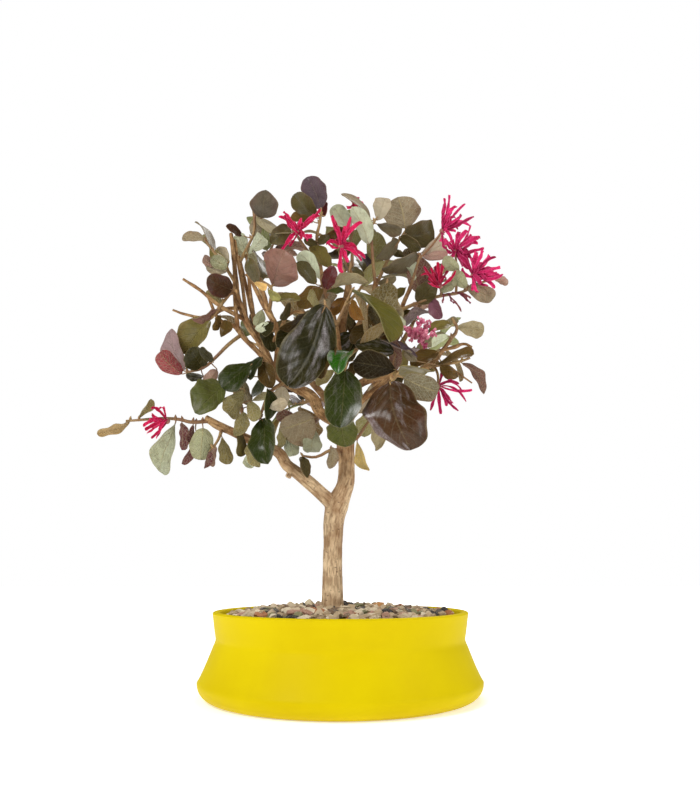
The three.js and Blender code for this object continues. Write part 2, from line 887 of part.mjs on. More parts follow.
// The blooms: a stalk that starts inside the twig that carries it, and the tips of the petals.
const BLOOMS = {
  bloom_low_left: {
    stalk: [[168, 419, -16], [167, 421, -22]],
    tips: [[151, 408], [152, 414], [143, 426], [147, 433], [151, 438], [156, 438]],
  },
  bloom_top_left: {
    stalk: [[297, 236, -11], [298, 232, -18]],
    tips: [[283, 212], [320, 209], [308, 240], [282, 250]],
  },
  bloom_top_middle: {
    stalk: [[350, 276, 8], [345, 262, -6], [341, 247, -14]],
    tips: [[333, 215], [351, 217], [362, 222], [365, 258], [342, 273], [322, 243]],
  },
  bloom_top_back: {
    stalk: [[351, 238, 5], [355, 222, 4], [356, 211, 3]],
    tips: [[350, 199], [357, 197], [363, 203], [347, 207]],
  },
  bloom_right_top: {
    stalk: [[420, 258, -3], [433, 244, -4], [442, 231, -5]],
    tips: [[444, 198], [449, 195], [456, 206], [465, 204], [474, 217]],
  },
  bloom_right_middle: {
    stalk: [[456, 293, -8], [457, 272, -7], [455, 252, -7]],
    tips: [[479, 238], [470, 225], [471, 258], [440, 240]],
  },
  bloom_right_out: {
    stalk: [[476, 285, -9], [473, 276, -13]],
    tips: [[482, 250], [489, 255], [496, 257], [500, 267], [503, 275], [500, 281], [495, 288]],
  },
  bloom_right_deep: {
    stalk: [[442, 295, -7], [440, 286, -12]],
    tips: [[438, 262], [431, 268], [421, 275], [450, 268], [456, 271]],
  },
  bloom_right_low: {
    stalk: [[434, 366, -9], [438, 376, -16], [438, 386, -18]],
    tips: [[459, 384], [472, 390], [466, 402], [453, 403], [458, 411], [441, 414], [430, 410], [446, 364]],
  },
  bloom_young: {
    stalk: [[398, 322, 2], [412, 332, -12], [418, 334, -18]],
    tips: [[404, 325], [411, 341], [420, 315], [432, 321], [437, 335], [425, 348]],
  },
};

// What already stands in the crown, each with its clearance skin, under the name of its node.
const standing = [];

const apart = (box, other) =>
  [0, 1, 2].some((k) => box.min[k] > other.max[k] || box.max[k] < other.min[k]);

// How much of a solid, in cubic millimetres, lies inside what stands there already. Leaves of one
// twig may share a little room where their stalks meet.
const SHARED_ROOT = 3;

function crossing(node, solid) {
  const box = solid.boundingBox();
  let volume = 0;
  for (const other of standing) {
    if (apart(box, other.box) || (other.node === node && other.carries)) continue;
    const shared = solid.intersect(other.solid).volume();
    volume += other.node === node ? Math.max(0, shared - SHARED_ROOT) : shared;
  }
  return volume;
}

function stand(node, solid, wider, carries = false) {
  standing.push({ node, solid, wider, carries, box: wider.boundingBox() });
}

// A piece is tried at each shift in turn, and stands at the first where it clears every other node.
const CLEAR = 1e-4;

function settle(node, shifts, build, keepCrossing) {
  let best = null;
  for (const shift of shifts) {
    const made = build(shift);
    const wider = made(GAP);
    const volume = crossing(node, wider);
    if (!best || volume < best.volume) best = { volume, made, wider };
    if (volume < CLEAR) break;
  }
  if (best.volume > CLEAR && !keepCrossing) return null;
  const solid = best.made(0);
  stand(node, solid, best.wider);
  return solid;
}

// How far a drawn leaf's start and tip may lean back or forward to clear its neighbours.
const LEANS = [[0, 0], [0, 5], [0, -5], [0, 10], [0, -10], [2, 15], [-2, -15], [3, 22], [-3, -22]];

function drawnLeaf(node, stem, { from, to, wide, shows }, index) {
  return settle(
    node,
    LEANS,
    ([startLean, tipLean]) => {
      const base = at([from[0], from[1], from[2] + startLean]);
      const tip = at([to[0], to[1], to[2] + tipLean]);
      const seen = wide * pixelAt([(from[0] + to[0]) / 2, (from[1] + to[1]) / 2, from[2]]);
      const width = Math.max(seen, PLUMPNESS * at(from).distanceTo(at(to)));
      const roll = Math.acos(Math.min(seen / width, 1)) * (index % 2 ? 1 : -1);
      const up = EYE.clone().sub(base).multiplyScalar(shows);
      const root = nearestOn(stem, base);
      return (grow) => leafSolid({ root, base, tip, width, up, roll }, grow);
    },
    true,
  );
}

// A grown leaf stands out to one side of its twig, the next a turn further round, face up.
const TURNS = [0, 0.5, -0.5, 1, -1, 1.5, -1.5];

function grownLeaf(node, stem, share, index) {
  const along = share * (stem.length - 1);
  const step = Math.min(Math.floor(along), stem.length - 2);
  const root = stem[step].clone().lerp(stem[step + 1], along - step);
  const growing = stem[step + 1].clone().sub(stem[step]).normalize();
  const length = draw(...GROWN_LENGTH);
  const width = length * draw(...GROWN_PLUMPNESS);
  const lean = draw(...GROWN_LEAN);
  const roll = draw(-GROWN_TILT, GROWN_TILT);
  if ((LEFT_OPEN[node] || []).includes(index)) return null;
  const sideways = growing.clone().cross(new THREE.Vector3(0, 0, 1)).normalize();
  return settle(
    node,
    TURNS,
    (turn) => {
      const outward = sideways.clone().applyAxisAngle(growing, index * GOLDEN_ANGLE + turn);
      const heading = outward.addScaledVector(growing, lean).normalize();
      const base = root.clone().addScaledVector(heading, STALK_LENGTH);
      const tip = base.clone().addScaledVector(heading, length);
      const blade = { root, base, tip, width, up: GROWN_UP, roll, grown: true };
      return (grow) => leafSolid(blade, grow);
    },
    false,
  );
}

// Petals spread to their drawn tips, some nearer and some further back than the heart.
const PETAL_DEPTHS = [-9, 3, -4, 8];
const PETAL_SHIFTS = [0, 5, -5, 10, -10, 15, -15];
const PETAL_BOW = [1.5, -1.5, 3];

function bloomPetals(node, heartPlace, tips) {
  const heart = at(heartPlace);
  const back = heartPlace[2];
  return tips.map(([across, down], i) => {
    const depth = back + PETAL_DEPTHS[i % PETAL_DEPTHS.length];
    return settle(
      node,
      PETAL_SHIFTS,
      (shift) => {
        const tip = at([across, down, depth + shift]);
        const start = heart.clone().lerp(tip, (0.5 * CALYX_RADIUS) / heart.distanceTo(tip));
        return (grow) => petalSolid({ start, tip, bow: PETAL_BOW[i % PETAL_BOW.length] }, grow);
      },
      true,
    );
  });
}

// The wood, with fewer sides on what is thinner, and grown by a margin where that is asked for.
const TRUNK_SIDES = 10;
const BRANCH_SIDES = 6;
const TWIG_SIDES = 4;
const THICK_BRANCH = 1.9;

function woodSolid(grow) {
  const limbs = Object.entries(LIMBS).map(([name, places]) => {
    const radii = places.map((place) => place[3]);
    const thinner = radii[0] > THICK_BRANCH ? BRANCH_SIDES : TWIG_SIDES;
    const sides = name === "trunk" ? TRUNK_SIDES : thinner;
    return stemSolid(places.map(at), radii, sides, grow);
  });
  return Manifold.union(limbs);
}

// The wood stands first, then every twig and stalk, then the leaves and the petals.
const wood = woodSolid(0);
const woodSkin = woodSolid(GAP);
stand("wood", wood, woodSkin, true);

const twigs = {};
for (const [node, { stem, stalk }] of Object.entries({ ...SHOOTS, ...GROWN, ...BLOOMS })) {
  const points = (stem || stalk).map(at);
  const radii = taper(points, stem ? TWIG_RADII : BLOOM_STALK_RADII);
  const solid = stemSolid(points, radii, TWIG_SIDES);
  stand(node, solid, stemSolid(points, radii, TWIG_SIDES, GAP), true);
  twigs[node] = { points, pieces: [solid] };
}
for (const [node, { leaves }] of Object.entries(SHOOTS)) {
  leaves.forEach((one, i) => twigs[node].pieces.push(drawnLeaf(node, twigs[node].points, one, i)));
}
for (const [node, { stalk, tips }] of Object.entries(BLOOMS)) {
  const heart = stalk[stalk.length - 1];
  const calyx = new THREE.IcosahedronGeometry(CALYX_RADIUS, 0).translate(...at(heart).toArray());
  twigs[node].pieces.push(solidOf(calyx), ...bloomPetals(node, heart, tips));
}
for (const [node, { count }] of Object.entries(GROWN)) {
  for (let i = 0; i < count; i++) {
    const share = BARE_SHARE + ((1 - BARE_SHARE) * (i + 1)) / count;
    const one = grownLeaf(node, twigs[node].points, share, i);
    if (one) twigs[node].pieces.push(one);
  }
}

// The largest body of a solid, with its small sealed hollows filled and loose scraps dropped.
function largest(solid) {
  const bodies = solid.simplify(TINY).decompose();
  return bodies.sort((a, b) => b.volume() - a.volume())[0];
}

// Each node's pieces are joined, cleared of what stands before it, and kept as one body.
function oneBody(node, pieces) {
  let solid = Manifold.union(pieces);
  const box = solid.boundingBox();
  const turn = (name) => standing.findIndex((one) => one.node === name);
  for (const other of standing) {
    const before = turn(other.node) < turn(node);
    if (before && !apart(box, other.box)) solid = solid.subtract(other.wider);
  }
  return largest(solid);
}

function meshOf(name, solid, color, roughness) {
  const { vertProperties, triVerts, numProp } = solid.getMesh();
  const geometry = new THREE.BufferGeometry()
    .setAttribute("position", new THREE.BufferAttribute(vertProperties.slice(), numProp))
    .setIndex(new THREE.BufferAttribute(triVerts.slice(), 1));
  const material = new THREE.MeshStandardMaterial({ color, roughness, metalness: 0 });
  const mesh = new THREE.Mesh(geometry, material);
  mesh.name = name;
  return mesh;
}

const YELLOW_GLAZE = 0xeed300;
const DARK_SOIL = 0x3b2a1e;
const TAN_GRAVEL = 0xa58f78;
const WARM_BARK = 0xb08a68;
const OLIVE_LEAF = 0x4f5a3c;
const MAROON_LEAF = 0x5c5148;
const PINK_PETAL = 0xd81e5b;

const group = new THREE.Group();
const add = (...description) => group.add(meshOf(...description));

add("pot", pot(), YELLOW_GLAZE, 0.45);

const soilRoom = turned(potRoom(POT_FLOOR + GAP, SOIL_TOP, GAP), FILL_SIDES);
add("soil", soilRoom.subtract(woodSkin), DARK_SOIL, 0.95);

// The gravel: a low mound on the soil, with the stones sunk half way in its top.
const bedRadius = potRadius(SOIL_TOP) - POT_WALL - GAP;
const moundRadius = potRadius(POT_HEIGHT) - POT_WALL - 4 * GAP;
const mound = [1, 0.5, 0].map((share) => [share * moundRadius, gravelHeight(share * moundRadius)]);
const bedBottom = SOIL_TOP + GAP;
const bed = turned([[0, bedBottom], [bedRadius, bedBottom], ...mound], FILL_SIDES);
const stones = Array.from({ length: STONES }, (_, i) => stone(i));
const aboveStones = 2 * GRAVEL_CROWN;
const room = turned(
  [[0, bedBottom], [bedRadius, bedBottom], [bedRadius, aboveStones], [0, aboveStones]],
  FILL_SIDES,
);
const gravel = Manifold.union([bed, ...stones]).intersect(room).subtract(woodSkin);
add("gravel", largest(gravel), TAN_GRAVEL, 0.9);
add("wood", largest(wood), WARM_BARK, 0.8);

const addTwigs = (table, color, roughness) => {
  for (const node of Object.keys(table)) {
    add(node, oneBody(node, twigs[node].pieces), color, roughness);
  }
};
addTwigs(SHOOTS, OLIVE_LEAF, 0.5);
addTwigs(GROWN, MAROON_LEAF, 0.5);
addTwigs(BLOOMS, PINK_PETAL, 0.6);

export default group;
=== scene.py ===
# %% [markdown]
# # A flowering loropetalum bonsai in a yellow pot
#
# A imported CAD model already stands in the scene: plain solids with the right sizes, one for the pot, the
# soil, the gravel, the wood, and for every leafy shoot and flower. This lesson gives each of them a finer
# piece in the same place, with veins, bark, glaze and colour. All sizes are in metres, so MM turns
# millimetres into them.

# %% Load the fixed frame
import math
import random

import bpy
import numpy as np
from mathutils import Matrix, Vector


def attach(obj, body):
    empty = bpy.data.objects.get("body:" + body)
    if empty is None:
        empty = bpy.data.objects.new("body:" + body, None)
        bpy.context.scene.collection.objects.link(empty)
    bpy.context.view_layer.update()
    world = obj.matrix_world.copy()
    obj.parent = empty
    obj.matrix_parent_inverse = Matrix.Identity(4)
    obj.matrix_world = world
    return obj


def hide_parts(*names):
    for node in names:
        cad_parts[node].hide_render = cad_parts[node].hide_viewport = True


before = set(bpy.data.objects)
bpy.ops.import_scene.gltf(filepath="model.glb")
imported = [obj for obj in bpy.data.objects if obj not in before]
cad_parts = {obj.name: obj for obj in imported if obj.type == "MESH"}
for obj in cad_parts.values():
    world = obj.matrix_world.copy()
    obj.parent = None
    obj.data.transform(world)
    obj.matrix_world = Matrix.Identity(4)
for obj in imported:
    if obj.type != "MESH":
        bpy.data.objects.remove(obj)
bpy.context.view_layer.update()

MM = 0.001

# %% [markdown]
# ## Where things are
#
# The tree was drawn from the front, as a list of places in a picture of 700 by 800 pixels, each with a
# distance towards the back. One function turns such a place into a point in space. It is the same sum
# that a camera does, run backwards, and the camera is then put at that very eye.

# %% From a place in the picture to a point in space
EYE = Vector((4.9, -400, 64.7)) * MM
EYE_PITCH = math.radians(12.9)
FOCAL_PIXELS = 727.3
PICTURE = (700, 800)
CROWN_DEPTH = 1.35


def at(across, down, drawn_back):
    """The point that the front view shows at a pixel, at the given depth."""
    back = CROWN_DEPTH * drawn_back * MM
    right = (across - PICTURE[0] / 2) / FOCAL_PIXELS
    above = (PICTURE[1] / 2 - down) / FOCAL_PIXELS
    forward = math.cos(EYE_PITCH) - above * math.sin(EYE_PITCH)
    rise = math.sin(EYE_PITCH) + above * math.cos(EYE_PITCH)
    reach = (back - EYE.y) / forward
    return Vector((EYE.x + reach * right, back, EYE.z + reach * rise))


def pixel_at(across, down, back):
    """The size of one pixel at a place."""
    return (at(across + 1, down, back) - at(across, down, back)).length


print("One pixel at the trunk is", round(pixel_at(345, 500, 0) / MM, 3), "mm")

# %% Camera
bpy.ops.object.camera_add(location=EYE, rotation=(math.pi / 2 + EYE_PITCH, 0, 0))
camera = bpy.context.object
camera.name = "front_view"
camera.data.sensor_width = 36
camera.data.lens = camera.data.sensor_width * FOCAL_PIXELS / PICTURE[1]
camera.data.clip_start = 10 * MM
bpy.context.scene.camera = camera
print("Lens:", round(camera.data.lens, 2), "mm")

# %% [markdown]
# ## Light and floor
#
# A plant photographed for a catalogue stands in a bright, even tent of light. A white world gives that
# even light. Large area lamps on the left, the right and above add the soft gloss on the leaves. The
# floor is stage dressing and never counts as a part of the tree.

# %% Lamps and world
STAGE_LAMPS = {
    "key": {"place": (-0.70, -0.75, 0.95), "size": 0.45, "power": 10.5},
    "fill": {"place": (0.95, -0.60, 0.45), "size": 0.5, "power": 3.4},
    "back": {"place": (0.25, 0.80, 1.15), "size": 0.7, "power": 7.5},
}
TENT_SEEN = 1.0
TENT_LIGHT = 0.42
TENT_MIRRORED = 0.03
AIM = Vector((0, 0, 0.15))
for name, lamp in STAGE_LAMPS.items():
    place = Vector(lamp["place"])
    turn = (AIM - place).to_track_quat("-Z", "Y").to_euler()
    bpy.ops.object.light_add(type="AREA", location=place, rotation=turn)
    light = bpy.context.object
    light.name = name
    light.data.size = lamp["size"]
    light.data.energy = lamp["power"]

world = bpy.data.worlds.new("white_tent")
world.use_nodes = True
tent = world.node_tree
glow = tent.nodes["Background"]
glow.inputs["Color"].default_value = (1, 1, 1, 1)
rays = tent.nodes.new("ShaderNodeLightPath")
lit = tent.nodes.new("ShaderNodeMapRange")
lit.inputs["To Min"].default_value = TENT_LIGHT
lit.inputs["To Max"].default_value = TENT_MIRRORED
tent.links.new(rays.outputs["Is Glossy Ray"], lit.inputs["Value"])
strength = tent.nodes.new("ShaderNodeMapRange")
strength.inputs["To Max"].default_value = TENT_SEEN
tent.links.new(lit.outputs["Result"], strength.inputs["To Min"])
tent.links.new(rays.outputs["Is Camera Ray"], strength.inputs["Value"])
tent.links.new(strength.outputs["Result"], glow.inputs["Strength"])
bpy.context.scene.world = world
bpy.context.scene.view_settings.view_transform = "Standard"
print("Lamps:", list(STAGE_LAMPS))

# %% [markdown]
# ## Small helpers for modelling
#
# Blender's operators act on whatever is selected, and the loaded frame leaves its nodes selected. So
# every step first picks out the objects that it means.


# %% Pick, name, join, copy and finish objects
def pick(*objects):
    """Selects these objects and no others. The first is the active one."""
    bpy.ops.object.select_all(action="DESELECT")
    for one in objects:
        one.select_set(True)
    bpy.context.view_layer.objects.active = objects[0]


def start():
    """Clears the selection before a new primitive."""
    bpy.ops.object.select_all(action="DESELECT")


def named(name):
    """Names the object that an operator has just made."""
    made = bpy.context.object
    made.name = made.data.name = name
    return made


def joined(name, parts):
    """Joins pieces into one object."""
    pick(*parts)
    bpy.ops.object.join()
    return named(name)


def copy_of(pattern):
    """A copy of a pattern, with a mesh of its own."""
    piece = pattern.copy()
    piece.data = pattern.data.copy()
    bpy.context.collection.objects.link(piece)
    return piece


def edit_all():
    """Opens edit mode with everything selected."""
    bpy.ops.object.mode_set(mode="EDIT")
    bpy.ops.mesh.select_all(action="SELECT")


def modify(piece, kind, **settings):
    """Adds a modifier to a piece and applies it."""
    modifier = piece.modifiers.new(kind.lower(), kind)
    for name, value in settings.items():
        setattr(modifier, name, value)
    pick(piece)
    bpy.ops.object.modifier_apply(modifier=modifier.name)


def smooth_below(degrees):
    """Shades what is picked smooth, but for edges that turn by more than this."""
    bpy.ops.object.shade_smooth_by_angle(angle=math.radians(degrees))


# %% Read, move and mark the corners of a mesh
def corners_of(piece):
    """The piece's vertices as rows of x, y and z."""
    flat = np.empty(3 * len(piece.data.vertices))
    piece.data.vertices.foreach_get("co", flat)
    return flat.reshape(-1, 3)


def move_corners(piece, places):
    piece.data.vertices.foreach_set("co", np.asarray(places, dtype=float).ravel())
    piece.data.update()


def mark(piece, name, kind, values):
    """Stores a value at every vertex, for the material to read."""
    layer = piece.data.attributes.new(name, kind, "POINT")
    field = "color" if kind == "FLOAT_COLOR" else "vector"
    layer.data.foreach_set(field, np.asarray(values, dtype=float).ravel())


def dye(piece, tone):
    """Gives the whole piece one tone, for the material to read."""
    mark(piece, "tone", "FLOAT_COLOR", [tone] * len(piece.data.vertices))


def triangles(piece):
    piece.data.calc_loop_triangles()
    return len(piece.data.loop_triangles)


def stand_for(piece, node):
    """Lets a finished piece take the place of a CAD node."""
    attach(piece, "root")
    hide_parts(node)


# %% Floor
start()
bpy.ops.mesh.primitive_plane_add(size=4)
floor = named("floor")
print("Floor:", floor.dimensions[0], "m wide")

# %% [markdown]
# ## Small helpers for materials
#
# A material is a sum over noise, stripes and masks. Written with nodes alone it is long and hard to read,
# so two small classes let Python's own signs stand for the nodes. Wire wraps one socket: adding or
# multiplying it adds a Math node. Finish holds one material and makes every other node.


# %% Wire: a socket that can be added and multiplied
class Wire:
    def __init__(self, finish, socket):
        self.finish = finish
        self.socket = socket

    def math(self, operation, *values):
        return self.finish.node("Math", {"operation": operation}, dict(enumerate(values)))

    def __add__(self, other):
        return self.math("ADD", self, other)

    def __sub__(self, other):
        return self.math("SUBTRACT", self, other)

    def __rsub__(self, other):
        return self.math("SUBTRACT", other, self)

    def __mul__(self, other):
        return self.math("MULTIPLY", self, other)

    def __abs__(self):
        return self.math("ABSOLUTE", self)

    def fraction(self):
        return self.math("FRACT", self)

    def sine(self):
        return self.math("SINE", self)

    __radd__ = __add__
    __rmul__ = __mul__


# %% Finish: a material under construction
def paint(red, green, blue):
    """A colour as a picture gives it, 0 to 255, as the linear colour that a shader wants."""
    share = [c / 255 for c in (red, green, blue)]
    linear = [c / 12.92 if c <= 0.04045 else ((c + 0.055) / 1.055) ** 2.4 for c in share]
    return (*linear, 1)


class Finish:
    def __init__(self, name, **constants):
        self.material = bpy.data.materials.new(name)
        self.material.use_nodes = True
        self.tree = self.material.node_tree
        self.shader = self.tree.nodes["Principled BSDF"]
        for socket, value in constants.items():
            self.shader.inputs[socket.replace("_", " ")].default_value = value

    def node(self, kind, settings=None, sockets=None, output=0):
        """Adds a node: its settings first, then the values or wires of its sockets."""
        node = self.tree.nodes.new("ShaderNode" + kind)
        for name, value in (settings or {}).items():
            setattr(node, name, value)
        for name, value in (sockets or {}).items():
            self.plug(node.inputs[name], value)
        return Wire(self, node.outputs[output])

    def plug(self, socket, value):
        if isinstance(value, Wire):
            self.tree.links.new(value.socket, socket)
        else:
            socket.default_value = value

    def places(self, scale=(1, 1, 1)):
        """The object's own coordinates, stretched."""
        where = self.node("TexCoord", output="Object")
        return self.node("Mapping", None, {"Vector": where, "Scale": scale})

    def attribute(self, name, output="Vector"):
        return self.node("Attribute", {"attribute_name": name}, output=output)

    def parts(self, vector):
        """The three numbers of a vector, each as a wire."""
        node = self.node("SeparateXYZ", None, {0: vector}).socket.node
        return [Wire(self, socket) for socket in node.outputs]

    def noise(self, where, scale, detail=3.0, roughness=0.55):
        sockets = {"Vector": where, "Scale": scale, "Detail": detail, "Roughness": roughness}
        return self.node("TexNoise", None, sockets)

    def cells(self, where, scale, feature="F1"):
        sockets = {"Vector": where, "Scale": scale}
        return self.node("TexVoronoi", {"feature": feature}, sockets)

    def rise(self, value, low, high, to_low=0.0, to_high=1.0):
        """Runs smoothly from one value to another as the input goes from low to high."""
        sockets = {0: value, 1: low, 2: high, 3: to_low, 4: to_high}
        return self.node("MapRange", {"interpolation_type": "SMOOTHSTEP"}, sockets)

    def blend(self, share, first, second, how="MIX"):
        """One colour laid over another."""
        settings = {"data_type": "RGBA", "blend_type": how}
        return self.node("Mix", settings, {0: share, 6: first, 7: second}, output=2)

    def colour(self, value):
        self.plug(self.shader.inputs["Base Color"], value)

    def rough(self, value):
        self.plug(self.shader.inputs["Roughness"], value)

    def relief(self, height, depth):
        """Bumps the surface by a height that runs from 0 to 1."""
        bump = self.node("Bump", None, {"Height": height, "Distance": depth, "Strength": 1.0})
        self.plug(self.shader.inputs["Normal"], bump)


# %% The floor's finish
# The floor glows by itself: a painted glow, white far off and dimmer near the pot, which leaves a painted
# shadow round its foot.
paper = Finish("pale_floor", Roughness=0.9, Specular_IOR_Level=0.1, Emission_Strength=1)
fibre = paper.noise(paper.places(), 60)
far_off = paper.node("VectorMath", {"operation": "LENGTH"}, {0: paper.places()}, output="Value")
near_glow, far_glow = (0.4, 0.4, 0.4, 1), (1, 1, 1, 1)
lit_paper = paper.blend(paper.rise(far_off, 0.1, 0.6), near_glow, far_glow)
paper.plug(paper.shader.inputs["Emission Color"], lit_paper)
paper.colour(paper.blend(paper.rise(fibre, 0.3, 0.7), (0.93, 0.93, 0.93, 1), (0.95, 0.95, 0.95, 1)))
floor.data.materials.append(paper.material)
print("Finish made:", paper.material.name)

# %% [markdown]
# ## The pot
#
# The pot is a low round bowl: a flared foot with a soft edge, a waist and a rim that opens a little. It
# could be a profile spun round an axis. Here a flat round underside is extruded ring by ring, and each
# new ring is scaled to the radius that the outline has there. The wall is plain all round.

# %% The pot's outline
POT_HEIGHT = 42.1 * MM
POT_BASE_RADIUS = 73.2 * MM
POT_BASE_ROUNDING = 8 * MM
POT_NECK_RADIUS = 64.7 * MM
POT_NECK_HEIGHT = 28.2 * MM
POT_RIM_RADIUS = 66.9 * MM
POT_WALL = 4.2 * MM
POT_FLOOR = 5 * MM
POT_FLOOR_ROUNDING = 2 * MM
POT_BULGE = 0.85
POT_LIP = 1.3 * MM
WAIST_BLEND = 3 * MM
WALL_RINGS = 26


def pot_radius(height):
    """The pot's outer radius above its rounded foot, with a soft turn at the neck."""
    share = (height - POT_BASE_ROUNDING) / (POT_NECK_HEIGHT - POT_BASE_ROUNDING)
    below = POT_BASE_RADIUS + (POT_NECK_RADIUS - POT_BASE_RADIUS) * max(share, 0) ** POT_BULGE
    share = (height - POT_NECK_HEIGHT) / (POT_HEIGHT - POT_NECK_HEIGHT)
    above = POT_NECK_RADIUS + (POT_RIM_RADIUS - POT_NECK_RADIUS) * share
    turn = min(max((height - POT_NECK_HEIGHT) / WAIST_BLEND * 0.5 + 0.5, 0), 1)
    turn = turn * turn * (3 - 2 * turn)
    return below * (1 - turn) + above * turn


def arc(centre_radius, centre_height, size, first, last, steps):
    """Places on a quarter round, as radius and height."""
    angles = [math.radians(first + (last - first) * i / steps) for i in range(steps + 1)]
    return [(centre_radius + size * math.cos(a), centre_height + size * math.sin(a)) for a in angles]


foot = arc(POT_BASE_RADIUS - POT_BASE_ROUNDING, POT_BASE_ROUNDING, POT_BASE_ROUNDING, -90, 0, 8)
heights = np.linspace(POT_BASE_ROUNDING, POT_HEIGHT - POT_LIP, WALL_RINGS)[1:]
outside = [(pot_radius(height), height) for height in heights]
outer_lip = arc(POT_RIM_RADIUS - POT_LIP, POT_HEIGHT - POT_LIP, POT_LIP, 0, 90, 4)[1:]
inner_lip = arc(POT_RIM_RADIUS - POT_WALL + POT_LIP, POT_HEIGHT - POT_LIP, POT_LIP, 90, 180, 4)
inside = [(pot_radius(height) - POT_WALL, height) for height in heights[-2::-3]]
pot_rings = foot + outside + outer_lip + inner_lip + inside
pot_rings.append((pot_radius(POT_BASE_ROUNDING) - POT_WALL - POT_FLOOR_ROUNDING, POT_FLOOR))
print("Rings in the pot's outline:", len(pot_rings))

# %% Extrude the pot ring by ring
POT_SIDES = 144


def raised(name, rings, sides):
    """A round body over rings, each given as radius and height. The first one is a flat disc."""
    radius, height = rings[0]
    start()
    bpy.ops.mesh.primitive_circle_add(
        vertices=sides, radius=radius, fill_type="NGON", location=(0, 0, height)
    )
    body = named(name)
    bpy.ops.object.transform_apply(location=True)
    edit_all()
    for next_radius, next_height in rings[1:]:
        lift = (0, 0, next_height - height)
        bpy.ops.mesh.extrude_region_move(TRANSFORM_OT_translate={"value": lift})
        spread = next_radius / radius
        bpy.ops.transform.resize(value=(spread, spread, 1), center_override=(0, 0, next_height))
        radius, height = next_radius, next_height
    bpy.ops.mesh.select_all(action="SELECT")
    bpy.ops.mesh.normals_make_consistent(inside=False)
    bpy.ops.object.mode_set(mode="OBJECT")
    smooth_below(40)
    return body


pot = raised("glazed_pot", pot_rings, POT_SIDES)
stand_for(pot, "pot")
print("Pot:", triangles(pot), "triangles,", round(2 * POT_BASE_RADIUS / MM, 1), "mm wide")

# %% [markdown]
# The glaze is a strong, slightly orange yellow with a silky shine. A real glaze is never quite even: its
# tone drifts in soft clouds, it carries fine pinholes, and its shine comes and goes.

# %% The yellow glaze
glaze = Finish("yellow_glaze", Specular_IOR_Level=0.05)
where = glaze.places()
clouds = glaze.noise(where, 28, 4)
pores = glaze.cells(where, 520)
pinholes = glaze.rise(pores, 0.05, 0.16)
yellow = glaze.blend(glaze.rise(clouds, 0.3, 0.7), paint(208, 183, 0), paint(214, 191, 0))
glaze.colour(glaze.blend(pinholes * 0.15 + 0.85, paint(194, 164, 0), yellow))
glaze.rough(glaze.rise(clouds, 0.25, 0.75, 0.46, 0.58))
hammered = glaze.noise(where, 95, 2)
glaze.relief(hammered * 0.8 + pinholes * 0.2, 0.12 * MM)
pot.data.materials.append(glaze.material)
print("Finish made:", glaze.material.name)

# %% [markdown]
# ## Soil
#
# The pot is full of dark earth, which the gravel covers. The CAD solid has the right shape, so it stays
# and only gets a finish: crumbs of different sizes, dark and damp, with a few pale grains.

# %% The soil's finish
earth = Finish("damp_soil", Roughness=0.95)
where = earth.places()
crumbs = earth.cells(where, 320)
grains = earth.noise(where, 900, 4)
dark = earth.blend(earth.rise(crumbs, 0.1, 0.6), paint(48, 34, 24), paint(84, 64, 46))
earth.colour(earth.blend(earth.rise(grains, 0.64, 0.72), dark, paint(150, 128, 100)))
earth.relief(crumbs * 0.7 + grains * 0.3, 1.2 * MM)
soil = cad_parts["soil"]
soil.data.materials.clear()
soil.data.materials.append(earth.material)
print("Finish made:", earth.material.name)

# %% [markdown]
# ## Gravel and moss
#
# Small broken chips cover the soil. A chip starts as a ball of few faces, which a handful of straight
# cuts turns into a stone with flats and edges. Six such chips are modelled, then copied some hundreds of
# times, each copy turned, squashed and sized by a seeded draw. They lie on a low mound of grit.

# %% A chip cut from a ball
luck = random.Random(4711)
CHIP_KINDS = 6
CHIP_CUTS = 11
CUT_DISTANCE = (0.42, 0.74)


def any_way(chance):
    """A direction by chance."""
    return Vector([chance.gauss(0, 1) for _ in range(3)]).normalized()


def chip(index):
    """A ball of radius 1 that straight cuts have turned into a stone."""
    start()
    bpy.ops.mesh.primitive_ico_sphere_add(subdivisions=2, radius=1)
    stone = named(f"chip_{index}")
    edit_all()
    for _ in range(CHIP_CUTS):
        facing = any_way(luck)
        cut = facing * luck.uniform(*CUT_DISTANCE)
        bpy.ops.mesh.select_all(action="SELECT")
        bpy.ops.mesh.bisect(plane_co=cut, plane_no=facing, use_fill=True, clear_outer=True)
    bpy.ops.object.mode_set(mode="OBJECT")
    smooth_below(16)
    return stone


chips = [chip(i) for i in range(CHIP_KINDS)]
print("Chips modelled:", CHIP_KINDS, "of about", triangles(chips[0]), "triangles")

# %% The mound of grit under the chips
GRAVEL_EDGE = 39.5 * MM
GRAVEL_CROWN = 43 * MM
GRIT_RADIUS = pot_radius(POT_HEIGHT) - POT_WALL - 0.6 * MM
GRIT_BELOW = 1.2 * MM
GRIT_SIDES = 72
SOIL_TOP = 36.3 * MM


def gravel_height(radius):
    """Height of the gravel's bed at a distance from the trunk."""
    return GRAVEL_CROWN + (GRAVEL_EDGE - GRAVEL_CROWN) * (radius / POT_NECK_RADIUS) ** 2


bed = [share * GRIT_RADIUS for share in np.linspace(1, 0.04, 14)]
grit_rings = [(pot_radius(SOIL_TOP) - POT_WALL - 0.5 * MM, SOIL_TOP)]
grit_rings += [(radius, gravel_height(radius) - GRIT_BELOW) for radius in bed]
grit = raised("grit", grit_rings, GRIT_SIDES)
print("Grit:", triangles(grit), "triangles")

# %% Scatter a piece on the bed
CHIP_TIP = (-0.5, 0.5)
CHIP_WIDTH = (0.6, 0.95)


